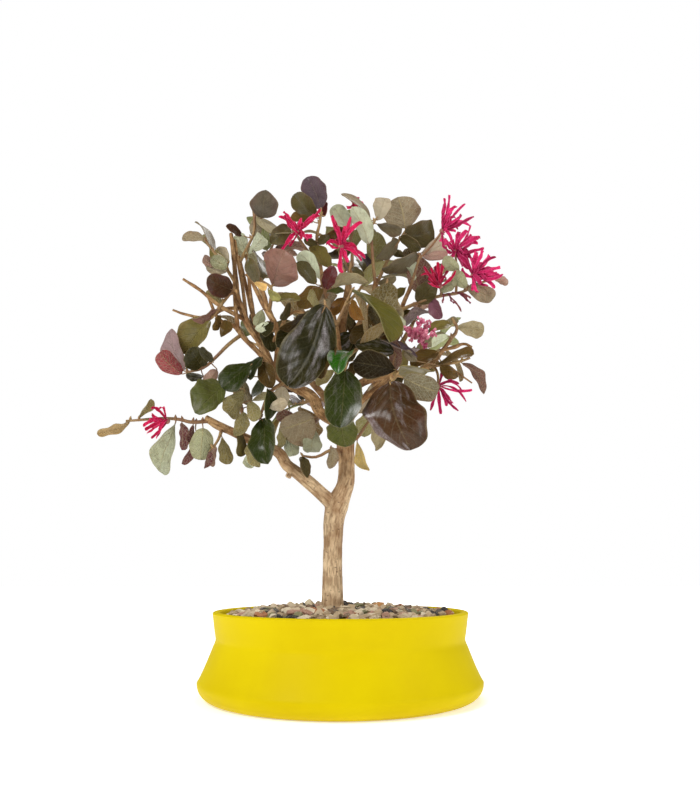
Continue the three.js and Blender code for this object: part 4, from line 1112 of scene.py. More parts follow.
moved = skin.node("VectorMath", {"operation": "MULTIPLY"}, {0: tone, 1: (40, 40, 40)})
stretched = skin.node(
    "VectorMath", {"operation": "MULTIPLY_ADD"}, {0: flat_map, 1: (3.4, 1.6, 1), 2: moved}
)
streak = skin.noise(stretched, 1, 4, 0.6)
uneven = blotch * 0.5 + mottle * 0.5
# Painted shade: the colour is darkened in soft hollows of the noise, most on glossy upper faces.
painted_shade_mask = 1 - skin.rise(uneven, 0.4, 0.54)
with_painted_shade = skin.blend(painted_shade_mask * (shine * 0.55 + 0.2), rimmed, (0.34, 0.38, 0.26, 1), "MULTIPLY")
grain = skin.rise(speck * 0.5 + mottle * 0.5, 0.42, 0.6)
# Painted highlight: lilac-grey streaks laid into the colour of glossy upper faces, where the coat is
# strongest too.
painted_sheen = skin.rise(streak, 0.48, 0.62) * skin.rise(shine, 0.6, 0.85) * (grain * 0.6 + 0.4)
skin.colour(skin.blend(painted_sheen * 0.5, with_painted_shade, paint(164, 154, 156)))
skin.plug(skin.shader.inputs["Coat Weight"], shine * skin.rise(streak, 0.42, 0.6, 0.35, 0.95))
skin.rough(skin.rise(mottle, 0.3, 0.75, -0.04, 0.1) + (0.66 - shine * 0.2))
quilt = skin.cells(where, 330)
height = mottle * 0.25 + quilt * 0.5 + speck * 0.1 + net_line * under * 0.3
height += veins * (under * 2 - 1) * 0.6
skin.relief(height, 0.45 * MM)
print("Finish made:", skin.material.name)

# %% The green and tan stalk's finish
stalk = Finish("young_stalk", Roughness=0.6)
where = stalk.places()
fleck = stalk.noise(where, 700, 4)
tint = stalk.noise(where, 60, 2)
young = stalk.blend(stalk.rise(tint, 0.35, 0.65), paint(128, 92, 58), paint(158, 128, 80))
stalk.colour(stalk.blend(stalk.rise(fleck, 0.5, 0.68, 0, 0.6), young, paint(104, 68, 56)))
stalk.relief(fleck, 0.15 * MM)
print("Finish made:", stalk.material.name)

# %% [markdown]
# ## The shoots that the front view shows
#
# Each shoot is a stem and its leaves. A leaf is given by the place where its blade starts, the place of
# its tip, how wide it looks in pixels, which face it shows, its tone and, where chance doesn't choose it,
# its cut. A leaf that looks narrow is turned partly edge on.

# %% Shoots: stem, then leaves as start, tip, seen width, face, tone and cut
SHOOTS = {
    "low_left_tip": ([(211, 421, -13), (190, 422, -15), (180, 419.5, -15), (160, 418.5, -16),
        (140, 420, -17), (126, 421, -17)], [
        ((130, 421, -17), (97, 434, -21), 9, TOP, "dry_tan"),
        ((139, 418, -17), (151, 399, -21), 8, TOP, "khaki"),
        ((175, 424, -16), (159, 471, -25), 22, BACK, "sage", "drooping"),
        ((182, 423, -15), (182, 450, -8), 10, BACK, "wine", "oval"),
        ((193, 425, -15), (193, 447, -11), 7, BACK, "wine", "long"),
        ((196, 434, -9), (182, 464, -4), 8, BACK, "wine", "oval"),
        ((203, 428, -16), (200, 460, -23), 24, BACK, "grey_green"),
    ]),
    "low_left_hang": ([(222, 428, -12), (219, 438, -15), (213, 448, -17)], [
        ((216, 447, -17), (213, 467, -14), 8, BACK, "mauve"),
        ((209, 452, -18), (205, 468, -22), 7, BACK, "wine"),
        ((222, 437, -13), (230, 464, -9), 13, BACK, "khaki"),
    ]),
    "left_middle": ([(240, 436, -11), (243, 420, -17), (240, 405, -20), (234, 391, -22), (238, 376, -24)], [
        ((240, 430, -14), (238, 456, -5), 10, TOP, "olive"),
        ((243, 412, -19), (236, 436, -24), 14, BACK, "khaki"),
        ((245, 390, -22), (228, 414, -31), 21, BACK, "khaki", "paddle"),
        ((250, 406, -17), (244, 381, -11), 15, BACK, "smoke"),
        ((224, 386, -26), (195, 413, -33), 32, TOP, "green", "lopsided"),
        ((252, 364, -25), (222, 388, -32), 26, TOP, "deep_green", "paddle"),
        ((262, 378, -20), (252, 397, -14), 10, TOP, "deep_green"),
    ]),
    "left_drop": ([(287, 383, -10), (276, 387, -17), (268, 396, -19), (263, 408, -20), (260, 418, -21)], [
        ((269, 390, -20), (266, 420, -26), 14, TOP, "deep_green"),
        ((262, 419, -21), (268, 464, -30), 27, TOP, "deep_green", "oval"),
        ((256, 436, -14), (257, 467, -7), 15, BACK, "khaki"),
        ((281, 386, -14), (278, 412, -9), 16, BACK, "pale_grey"),
    ]),
    "under_middle": ([(320, 413, -4), (316, 422, 5), (304, 431, 9), (290, 436, 9)], [
        ((314, 418, -3), (280, 430, -12), 36, BACK, "taupe", "lopsided"),
        ((288, 436, 9), (293, 456, 5), 15, BACK, "sage"),
        ((312, 427, 6), (310, 452, -2), 19, BACK, "sage", "oval"),
    ]),
    "stem_left": ([(343, 452, 1), (331, 450, -7), (316, 457, -8), (303, 456, -7)], [
        ((302, 457, -7), (307, 478, -11), 10, TOP, "dark_olive"),
        ((331, 447, -8), (332, 468, -13), 12, BACK, "taupe"),
    ]),
    "stem_front": ([(345, 421, 2), (341, 417, -9), (341, 413, -16)], [
        ((341, 419, -16), (345, 447, -21), 31, TOP, "green", "oval"),
    ]),
    "stem_right": ([(346, 442, 2), (357, 438, -4), (364, 428, -8), (371, 418, -10)], [
        ((357, 442, -5), (367, 470, -10), 10, BACK, "straw"),
        ((373, 417, -11), (378, 450, -16), 16, BACK, "pale_khaki"),
    ]),
    "far_left": ([(241, 335, -16), (228, 345, -21), (215, 358, -22), (203, 368, -22), (188, 372, -22)], [
        ((184, 371, -22), (170, 330, -20), 19, TOP, "lilac", "oval"),
        ((182, 374, -22), (160, 352, -28), 19, BACK, "rose", "broad"),
        ((203, 368, -22), (190, 348, -28), 24, TOP, "black_olive", "round"),
        ((217, 370, -21), (205, 384, -24), 12, BACK, "mauve"),
        ((203, 377, -22), (186, 374, -26), 8, TOP, "night"),
    ]),
    "left_tip": ([(236, 284, -8), (228, 271, -13), (219, 259, -15), (212, 249, -16), (206, 241, -17)], [
        ((205, 240, -17), (182, 238, -21), 10, BACK, "taupe"),
        ((213, 251, -16), (195, 222, -13), 5, TOP, "smoke", "long"),
        ((228, 266, -13), (216, 249, -8), 11, BACK, "pale_grey"),
        ((217, 268, -16), (204, 256, -22), 10, BACK, "mauve"),
        ((229, 262, -14), (211, 236, -5), 5, TOP, "olive"),
    ]),
    "left_low": ([(239, 300, -9), (232, 293, -14), (225, 300, -15), (219, 309, -24), (212, 318, -25)], [
        ((232, 290, -15), (207, 278, -24), 23, TOP, "dark_maroon"),
        ((222, 303, -16), (209, 290, -12), 9, BACK, "olive"),
        ((218, 310, -25), (192, 319, -30), 8, TOP, "brown_mauve"),
        ((210, 320, -25), (184, 354, -34), 27, TOP, "olive", "lopsided"),
    ]),
    "top_left": ([(240, 262, -2), (247, 248, -6), (254, 232, -6), (254, 216, -6), (252, 204, -6)], [
        ((246, 255, -6), (237, 234, -12), 14, BACK, "sage", "wedge"),
        ((248, 254, -7), (263, 236, -14), 15, BACK, "sage", "wedge"),
        ((262, 218, -7), (266, 190, -12), 28, TOP, "slate"),
        ((258, 219, -5), (254, 236, 0), 13, BACK, "pale_grey"),
        ((257, 216, -7), (295, 232, -15), 9, BACK, "pale_khaki"),
        ((242, 235, -6), (226, 226, -12), 8, TOP, "dark_maroon"),
    ]),
    "inner_left": ([(320, 266, -3), (306, 249, -9), (296, 234, -11), (289, 224, -12)], [
        ((289, 226, -12), (270, 243, -5), 19, TOP, "dark_olive"),
    ]),
    "middle_left": ([(269, 312, -18), (271, 299, -23), (271, 288, -25), (262, 281, -25)], [
        ((273, 286, -25), (285, 250, -32), 37, TOP, "brown_mauve", "kite"),
        ((260, 281, -24), (257, 255, -15), 12, TOP, "dark_olive"),
        ((256, 282, -26), (264, 291, -30), 8, TOP, "ochre"),
        ((268, 289, -25), (281, 298, -29), 8, TOP, "lime"),
        ((272, 300, -23), (300, 300, -28), 9, TOP, "olive"),
    ]),
    "top_middle_left": ([(318, 252, -4), (317, 236, -8), (320, 222, -9), (321, 210, -9)], [
        ((316, 218, -9), (293, 195, -15), 20, TOP, "dark_olive"),
        ((321, 209, -9), (307, 177, -14), 24, TOP, "plum"),
        ((325, 216, -8), (324, 203, -3), 9, TOP, "maroon"),
        ((312, 221, -10), (290, 222, -17), 9, TOP, "olive_brown"),
    ]),
    "centre_left": ([(330, 308, 2), (326, 297, -9), (323, 286, -14), (322, 277, -14)], [
        ((320, 279, -14), (300, 252, -21), 17, BACK, "sage"),
        ((330, 268, -13), (311, 247, -10), 14, TOP, "olive"),
        ((325, 289, -15), (334, 266, -22), 14, TOP, "maroon"),
        ((319, 287, -14), (299, 308, -20), 18, TOP, "olive_brown"),
        ((328, 298, -9), (321, 312, -4), 12, BACK, "taupe"),
        ((332, 288, -12), (369, 283, -18), 12, BACK, "pale_khaki"),
    ]),
    "top_middle": ([(375, 282, 0), (373, 262, -1), (372, 245, -3), (371, 228, -3), (376, 219, -3)], [
        ((369, 244, -4), (352, 207, -10), 18, BACK, "sage"),
        ((370, 219, -3), (341, 194, -7), 6, TOP, "taupe"),
        ((378, 220, -3), (385, 198, 1), 18, TOP, "pale_grey"),
        ((377, 224, -4), (402, 229, -10), 12, TOP, "smoke"),
    ]),
    "crown_tip": ([(352, 266, 8), (352, 248, 6), (350, 233, 4)], [
        ((349, 231, 4), (333, 206, 0), 19, BACK, "sage"),
    ]),
    "top_right": ([(375, 288, 1), (384, 268, 7), (393, 250, 9), (402, 236, 9), (406, 230, 9)], [
        ((405, 228, 9), (398, 197, 5), 38, BACK, "taupe"),
        ((405, 234, 9), (433, 226, 13), 27, TOP, "dark_olive", "dip"),
        ((398, 242, 9), (376, 258, 4), 14, TOP, "smoke"),
    ]),
    "right_top": ([(410, 290, 3), (415, 272, -1), (420, 256, -3)], [
        ((417, 254, -3), (382, 270, -9), 14, TOP, "smoke"),
        ((421, 253, -3), (446, 241, -8), 19, BACK, "pale_grey", "drooping"),
        ((422, 256, -3), (447, 252, -11), 9, BACK, "mauve"),
        ((414, 281, 0), (416, 262, 6), 11, BACK, "sage"),
    ]),
    "right_upper": ([(401, 310, 4), (420, 302, -4), (440, 296, -7), (462, 292, -8), (478, 284, -9),
        (492, 279, -10)], [
        ((418, 303, -4), (437, 279, -11), 20, TOP, "dark_olive"),
        ((432, 299, -6), (442, 318, -10), 13, TOP, "purple", "round"),
        ((468, 287, -9), (493, 299, -14), 17, BACK, "taupe"),
        ((494, 279, -10), (508, 284, -12), 8, BACK, "mauve"),
    ]),
    "middle_right": ([(373, 298, 2), (380, 290, -9), (387, 283, -13)], [
        ((387, 284, -13), (395, 322, -19), 19, BACK, "mauve"),
        ((392, 300, -10), (399, 331, -7), 12, BACK, "pale_khaki"),
    ]),
    "right_middle": ([(450, 340, -9), (457, 329, -11), (452, 318, -12)], [
        ((456, 327, -11), (484, 331, -16), 17, BACK, "pale_khaki", "paddle"),
        ((453, 326, -12), (430, 331, -18), 9, TOP, "olive"),
        ((449, 336, -10), (432, 344, -6), 9, BACK, "sage"),
    ]),
    "right_low": ([(428, 367, -8), (445, 364, -13), (458, 362, -14), (470, 358, -14)], [
        ((437, 365, -13), (474, 354, -22), 9, TOP, "olive_brown"),
        ((462, 363, -14), (484, 394, -11), 10, BACK, "brown_mauve", "sickle"),
        ((431, 369, -11), (401, 366, -20), 11, TOP, "yellow_olive"),
    ]),
    "front_left": ([(337, 326, -35), (330, 313, -42), (325, 304, -46)], [
        ((325, 306, -46), (288, 387, -52), 50, TOP, "night", "mitten"),
    ]),
    "front_up": ([(337, 324, -35), (346, 304, -35), (352, 290, -34)], [
        ((353, 291, -34), (390, 342, -44), 15, TOP, "mist", "oval"),
    ]),
    "front_middle": ([(340, 356, -33), (343, 360, -39), (346, 367, -43)], [
        ((345, 370, -44), (340, 428, -48), 38, TOP, "deep_green", "oval"),
        ((350, 352, -40), (338, 374, -50), 20, TOP, "bright_green", "broad"),
    ]),
    "front_right": ([(393, 373, -35), (396, 376, -40), (392, 381, -44)], [
        ((390, 382, -45), (411, 450, -50), 59, TOP, "bronze", "ridge"),
        ((396, 370, -38), (353, 362, -44), 29, TOP, "deep_shade", "paddle"),
        ((404, 378, -40), (438, 392, -46), 26, BACK, "smoke"),
    ]),
}
print("Shoots in the front view:", len(SHOOTS))

# %% [markdown]
# Where two leaves would have crossed, the CAD model leant one of them back or forward until it was clear.
# The finer leaf has to lean the same way. The CAD leaf ends in one sharp point, so each lean that the
# model could have used is tried, and the one whose tip falls on a corner of the CAD solid is taken.

# %% Follow the CAD leaf
LEANS = [(0, 0), (0, 5), (0, -5), (0, 10), (0, -10), (2, 15), (-2, -15), (3, 22), (-3, -22)]
PLUMPNESS = 0.56


def miss(node, tip):
    """How far a tip lies from the nearest corner of a CAD node."""
    corners = corners_of(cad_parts[node])
    return np.linalg.norm(corners - np.array(tip), axis=1).min()


def drawn_blade(node, start_place, tip_place, seen_pixels, shows, index):
    """The base, tip, width, upward side and roll of a leaf that the front view shows."""
    tries = []
    for start_lean, tip_lean in LEANS:
        base = at(start_place[0], start_place[1], start_place[2] + start_lean)
        tip = at(tip_place[0], tip_place[1], tip_place[2] + tip_lean)
        tries.append((miss(node, tip), len(tries), base, tip))
    gap, _, base, tip = min(tries)
    middle = [(a + b) / 2 for a, b in zip(start_place[:2], tip_place[:2])]
    seen = seen_pixels * pixel_at(*middle, start_place[2])
    width = max(seen, PLUMPNESS * (at(*start_place) - at(*tip_place)).length)
    roll = math.acos(min(seen / width, 1)) * (1 if index % 2 else -1)
    return gap, (base, tip, width, (EYE - base) * shows, roll)


def nearest_on(places, spot):
    """The point of a stem's middle line that is nearest to a spot."""
    best = places[0]
    for first, second in zip(places, places[1:]):
        run = second - first
        share = min(max((spot - first).dot(run) / run.length_squared, 0), 1)
        close = first + run * share
        if (close - spot).length < (best - spot).length:
            best = close
    return best


# %% [markdown]
# The crown is fuller than the CAD model, which keeps to the larger leaves. So the shoots carry more young
# leaves between them, drawn in the same way. Each hangs in front of the stem that it crosses in the
# picture, and its stalk starts at the stem that is nearest to it in space.

# %% More leaves: start and tip in the picture, seen width, face, tone, how far in front and cut
MORE_LEAVES = {
    "front_left": [
        ((311, 311), (279, 328), 12, TOP, "umber", -28, "long"),
        ((337, 295), (317, 311), 14, BACK, "taupe", -14),
        ((312, 289), (315, 307), 10, BACK, "khaki", -10),
        ((334, 344), (321, 379), 14, TOP, "umber", -8),
        ((300, 358), (287, 392), 26, TOP, "dark_maroon", -26, "round"),
        ((334, 371), (316, 384), 11, BACK, "khaki", -6),
        ((296, 322), (277, 347), 20, TOP, "black_olive", -22),
    ],
    "front_middle": [
        ((353, 313), (337, 331), 16, TOP, "dark_olive", -8),
        ((353, 334), (329, 352), 20, TOP, "night", -6),
        ((345, 384), (325, 402), 17, TOP, "black_olive", -5),
        ((350, 384), (362, 398), 12, TOP, "olive", -5),
        ((356, 340), (348, 362), 14, TOP, "black_olive", -4),
        ((356, 361), (350, 380), 10, TOP, "umber", -5),
        ((346, 317), (354, 336), 11, TOP, "umber", -6),
    ],
    "front_right": [
        ((394, 352), (355, 345), 19, TOP, "night", -24),
        ((386, 366), (370, 346), 14, TOP, "umber", -20),
        ((388, 337), (397, 370), 15, BACK, "brown_mauve", -22, "long"),
        ((372, 325), (393, 344), 11, TOP, "amber", -18),
        ((373, 385), (357, 413), 10, TOP, "taupe", -18, "long"),
        ((417, 361), (405, 351), 9, BACK, "taupe", -16),
        ((438, 352), (411, 367), 15, TOP, "olive_brown", -6),
    ],
    "left_low": [
        ((228, 321), (221, 337), 12, TOP, "olive_brown", -3, "point"),
        ((220, 316), (213, 330), 8, TOP, "olive_brown", -3),
    ],
    "far_left": [
        ((213, 362), (201, 347), 9, TOP, "black_olive", -4),
    ],
    "middle_left": [
        ((290, 303), (280, 319), 8, TOP, "dark_olive", -4),
        ((262, 310), (256, 326), 12, BACK, "grey_green", -4),
        ((268, 322), (256, 330), 9, BACK, "sage", -6),
        ((272, 322), (264, 336), 11, TOP, "black_olive", -4),
        ((262, 330), (272, 352), 14, TOP, "black_olive", -5),
        ((257, 283), (249, 258), 13, TOP, "dark_olive", -6),
    ],
    "centre_left": [
        ((316, 284), (297, 262), 14, TOP, "dark_olive", -8),
    ],
    "right_top": [
        ((400, 237), (421, 249), 12, TOP, "dark_olive", -3),
    ],
    "crown_tip": [
        ((353, 267), (362, 278), 8, TOP, "dark_olive", -3),
    ],
    "left_tip": [
        ((227, 268), (211, 258), 14, BACK, "grey_green", -5),
        ((227, 271), (206, 267), 9, BACK, "pale_grey", -3),
    ],
    "left_middle": [
        ((262, 357), (250, 380), 12, TOP, "deep_green", -4),
        ((262, 362), (272, 388), 18, TOP, "umber", -5),
        ((252, 454), (249, 468), 12, BACK, "sage", -1, "round"),
        ((281, 426), (279, 449), 9, BACK, "khaki", -1),
        ((250, 401), (256, 421), 14, BACK, "khaki", -3),
    ],
    "right_low": [
        ((440, 366), (458, 377), 12, TOP, "olive_brown", -4),
    ],
    "top_middle_left": [
        ((326, 236), (344, 228), 9, TOP, "olive_brown", -5),
        ((318, 244), (330, 236), 9, TOP, "dark_olive", -5),
        ((318, 245), (304, 239), 8, TOP, "dark_olive", -3),
    ],
    "front_up": [
        ((366, 317), (380, 337), 15, TOP, "umber", -8),
        ((374, 324), (351, 343), 17, TOP, "umber", -6),
        ((344, 290), (327, 294), 8, TOP, "green", -8),
        ((378, 284), (396, 277), 8, TOP, "smoke", -3),
        ((352, 300), (364, 320), 12, TOP, "amber", -8, "long"),
        ((344, 298), (332, 316), 12, TOP, "amber", -8),
    ],
    "right_upper": [
        ((459, 270), (444, 257), 13, BACK, "grey_green", -5),
        ((466, 288), (454, 271), 13, BACK, "grey_green", -5),
        ((441, 292), (456, 279), 10, BACK, "grey_green", -4),
    ],
    "middle_right": [
        ((391, 315), (404, 330), 11, BACK, "sage", -12),
        ((419, 318), (401, 311), 9, TOP, "olive", -4),
    ],
    "under_middle": [
        ((270, 408), (287, 401), 12, BACK, "pale_grey", -4),
        ((296, 421), (276, 415), 14, BACK, "brown_mauve", -2),
    ],
}
print("More leaves:", sum(len(leaves) for leaves in MORE_LEAVES.values()))


# %% Hang them from the nearest stem
DRAWN_STEMS = [stem for stem, leaves in SHOOTS.values()]
DRAWN_STEMS += [[place[:3] for place in places] for places in LIMBS.values()]
STEM_ROUTES = [[at(*place) for place in stem] for stem in DRAWN_STEMS]
HANG_FORWARD = 3
LONGEST_STALK = 14 * MM


def nearest_drawn(across, down):
    """The place on any drawn stem that lies nearest in the picture."""
    best, spot = None, None
    for stem in DRAWN_STEMS:
        for (u, v, depth), (u2, v2, depth2) in zip(stem, stem[1:]):
            square = (u2 - u) ** 2 + (v2 - v) ** 2
            share = min(max(((across - u) * (u2 - u) + (down - v) * (v2 - v)) / max(square, 1e-9), 0), 1)
            here = (u + share * (u2 - u), v + share * (v2 - v), depth + share * (depth2 - depth))
            away = math.hypot(across - here[0], down - here[1])
            if best is None or away < best:
                best, spot = away, here
    return spot


def hung_leaf(start_place, tip_place, seen_pixels, shows, forward):
    """The root and the blade of a leaf that hangs in front of the stem that it crosses."""
    depth = nearest_drawn(*start_place)[2] + forward
    base, tip = at(*start_place, depth), at(*tip_place, depth - HANG_FORWARD)
    roots = [nearest_on(route, base) for route in STEM_ROUTES]
    root = min(roots, key=lambda spot: (spot - base).length)
    seen = seen_pixels * pixel_at(*start_place, depth)
    width = max(seen, PLUMPNESS * (tip - base).length)
    roll = math.acos(min(seen / width, 1)) * whim.choice((1, -1))
    return root, (base, tip, width, (EYE - base) * shows, roll)


# %% A leaf stalk that ends under the blade
STALK_SHARE = 0.012
STALK_SIZES = (0.32 * MM, 0.55 * MM)
STALK_SAG = -0.3 * MM
STALK_TAPER = (1.3, 1, 0.9, 0.4)


def stalk_route(root, blade):
    """The places and radii of a leaf's stalk, from its twig to just under the blade."""
    base = blade[0]
    length, along, side, face = frame_of(blade)
    thick = min(max(STALK_SHARE * length, STALK_SIZES[0]), STALK_SIZES[1])
    middle = root.lerp(base, 0.55) + face * STALK_SAG
    return [root, middle, base, base + along * 0.09 * length], [thick * share for share in STALK_TAPER]


# %% [markdown]
# A shoot's stem tapers towards its tip, and a small pointed bud sits in the corner between stem and
# stalk. Stem, stalks and buds are tubes of one curve object. They are joined with the leaves, so that each
# shoot stays one object, as it is one solid in CAD.

# %% Build a shoot from its stem and its blades
TWIG_RADII = (1.15 * MM, 0.65 * MM)
BUD_LENGTH = 2.6 * MM
BUD_RADII = [0.7 * MM, 0.75 * MM, 0.15 * MM]


def tapered(places, thick, thin):
    last = len(places) - 1
    return [thick + (thin - thick) * i / last for i in range(last + 1)]


def bud_route(root, blade):
    """A small bud in the corner between the stem and a leaf's stalk."""
    heading = (blade[0] - root).normalized()
    upward = (Vector((0, 0, 1)) + heading * 0.6).normalized()
    return [root, root + upward * 0.5 * BUD_LENGTH, root + upward * BUD_LENGTH], BUD_RADII


def build_shoot(node, name, stem, dressed):
    """Joins a stem and its leaves. Each leaf comes as its root, blade, tone, shown face and cut."""
    routes = [(stem, tapered(stem, *TWIG_RADII))]
    leaves = []
    for root, blade, tone, shows, cut in dressed:
        routes += [stalk_route(root, blade), bud_route(root, blade)]
        leaves.append(lay_leaf(blade, tone, shows, cut))
    stems = tubes("stems", routes, roundness=1, steps=3)
    pick(stems)
    bpy.ops.object.shade_smooth()
    stems.data.materials.append(stalk.material)
    shoot = joined(name, [stems] + leaves)
    stand_for(shoot, node)
    return shoot


misses = []
leafy = []
for name, (places, leaves) in SHOOTS.items():
    stem = [at(*place) for place in places]
    dressed = []
    for index, (start_place, tip_place, seen, shows, tone, *cut) in enumerate(leaves):
        gap, blade = drawn_blade(f"shoot_{name}", start_place, tip_place, seen, shows, index)
        misses.append(gap)
        dressed.append((nearest_on(stem, blade[0]), blade, tone, shows, cut[0] if cut else None))
    for start_place, tip_place, seen, shows, tone, forward, *cut in MORE_LEAVES.get(name, []):
        root, blade = hung_leaf(start_place, tip_place, seen, shows, forward)
        if (blade[0] - root).length > LONGEST_STALK:
            print(name, start_place, "hangs", round((blade[0] - root).length / MM), "mm from its stem")
        dressed.append((root, blade, tone, shows, cut[0] if cut else "oval"))
    leafy.append(build_shoot(f"shoot_{name}", f"leaves_{name}", stem, dressed))
print("Leaves:", len(misses), "- furthest tip from CAD:", round(max(misses) / MM, 2), "mm")

# %% [markdown]
# ## The shoots that fill the crown
#
# Behind and inside the crown the leaves are set by a rule: each stands out from its stem a golden angle
# further round than the one before. The draws use the same simple generator and the same seed as the CAD
# model, so they come out the same. Here too the CAD corner says which turn was used, and a leaf that the
# model left out for want of room is left out.

# %% The crown's rule-grown stems
GROWN = {
    "back_left_up": ([(268, 308, 28), (259, 285, 31), (264, 262, 32), (274, 243, 31)], 8),
    "back_left_side": ([(292, 354, 23), (270, 349, 30), (252, 343, 34), (240, 336, 36)], 7),
    "back_middle_up": ([(350, 288, 26), (342, 264, 30), (337, 240, 31)], 8),
    "back_middle_right": ([(347, 304, 24), (366, 282, 30), (384, 258, 32)], 8),
    "back_right_up": ([(411, 328, 27), (421, 300, 31), (424, 274, 31)], 8),
    "back_right_side": ([(396, 354, 23), (420, 348, 29), (442, 344, 33)], 7),
    "back_right_low": ([(368, 394, 14), (380, 400, 24), (394, 408, 32)], 6),
    "back_left_low": ([(326, 400, 14), (306, 402, 24), (290, 408, 32)], 7),
    "inner_left": ([(340, 348, 6), (325, 336, 12), (310, 326, 14), (296, 320, 15)], 7),
    "inner_right": ([(345, 308, 8), (362, 316, 13), (382, 324, 15), (402, 334, 16)], 7),
    "front_fill": ([(341, 362, -31), (362, 345, -25), (380, 332, -24)], 6),
    "right_fill": ([(426, 368, -8), (422, 350, 4), (418, 334, 9)], 5),
}
GROWN_LENGTH = (19, 28)
GROWN_PLUMPNESS = (0.56, 0.68)
GROWN_LEAN = (0.35, 0.8)
GROWN_TILT = 0.4
GROWN_UP = Vector((0.1, -0.25, 1))
BARE_SHARE = 0.25
STALK_LENGTH = 2.5 * MM
TURNS = (0, 0.5, -0.5, 1, -1, 1.5, -1.5)
SAME_PLACE = 0.5 * MM
GROWN_TONES = [
    "dark_olive", "umber", "olive_brown", "green", "plum", "olive", "dark_maroon", "black_olive",
]
DRAW_FACTOR = 16807
DRAW_LIMIT = 2147483647
seed = 20261


def draw(low, high):
    """The next number of a simple generator of chance, the same as in the CAD model."""
    global seed
    seed = seed * DRAW_FACTOR % DRAW_LIMIT
    return low + (high - low) * (seed / DRAW_LIMIT)


def grown_blade(node, stem, share, index):
    """The leaf that the rule sets at a share of the stem, turned as in the CAD solid, or nothing."""
    along = share * (len(stem) - 1)
    step = min(int(along), len(stem) - 2)
    root = stem[step].lerp(stem[step + 1], along - step)
    growing = (stem[step + 1] - stem[step]).normalized()
    length = draw(*GROWN_LENGTH) * MM
    width = length * draw(*GROWN_PLUMPNESS)
    lean = draw(*GROWN_LEAN)
    roll = draw(-GROWN_TILT, GROWN_TILT)
    sideways = growing.cross(Vector((0, 0, 1))).normalized()
    tries = []
    for turn in TURNS:
        outward = Matrix.Rotation(index * GOLDEN_ANGLE + turn, 3, growing) @ sideways
        heading = (outward + growing * lean).normalized()
        base = root + heading * STALK_LENGTH
        tip = base + heading * length
        tries.append((miss(node, tip), len(tries), base, tip))
    gap, _, base, tip = min(tries)
    return gap, root, (base, tip, width, GROWN_UP, roll)


left_out = 0
for name, (places, count) in GROWN.items():
    stem = [at(*place) for place in places]
    dressed = []
    for i in range(count):
        share = BARE_SHARE + (1 - BARE_SHARE) * (i + 1) / count
        gap, root, blade = grown_blade(f"grown_{name}", stem, share, i)
        if gap > SAME_PLACE:
            left_out += 1
            continue
        dressed.append((root, blade, whim.choice(GROWN_TONES), TOP, None))
    leafy.append(build_shoot(f"grown_{name}", f"leaves_inner_{name}", stem, dressed))
print("Shoots:", len(leafy), "- grown leaves left out:", left_out)
print("Triangles in the shoots:", sum(triangles(shoot) for shoot in leafy))

# %% [markdown]
# ## The flowers
#
# A loropetalum flower is a small tuft of strap petals, crimson pink, as if cut from crepe paper. The
# strap is modelled once as a narrow grid with a crumpled surface and a blunt end, and every petal is a
# copy that bows and curls from the heart of the flower to its tip.

# %% A crepe strap, one unit long and one unit wide
STRAP = 0.24 * MM
STRAP_FOOT = 0.34
STRAP_END = 0.92
FRILL = 0.25 * MM
TROUGH = 0.5 * MM
WAVE = 0.1 * MM
FRILL_BEAT, WAVE_BEAT, EDGE_BEAT = 19, 11, 13
EDGE_WANDER = 0.09
strap = flat_grid("strap_pattern", 4, 22)
places = corners_of(strap)
for place in places:
    x, y = place[0], place[1]
    body = STRAP_FOOT + (1 - STRAP_FOOT) * min(1, y * 1.8)
    end = math.sqrt(max(1 - max((y - STRAP_END) / (1 - STRAP_END), 0) ** 2 * 0.7, 0))
    frill = FRILL * math.sin(FRILL_BEAT * y + 3 * x) * abs(2 * x)
    place[2] = TROUGH * abs(2 * x) + frill + WAVE * math.sin(WAVE_BEAT * y)
    place[0] = x * body * end * (1 + EDGE_WANDER * math.sin(EDGE_BEAT * y))
move_corners(strap, places)
modify(strap, "SOLIDIFY", thickness=STRAP, offset=0)
smooth_below(60)
print("Strap:", triangles(strap), "triangles")

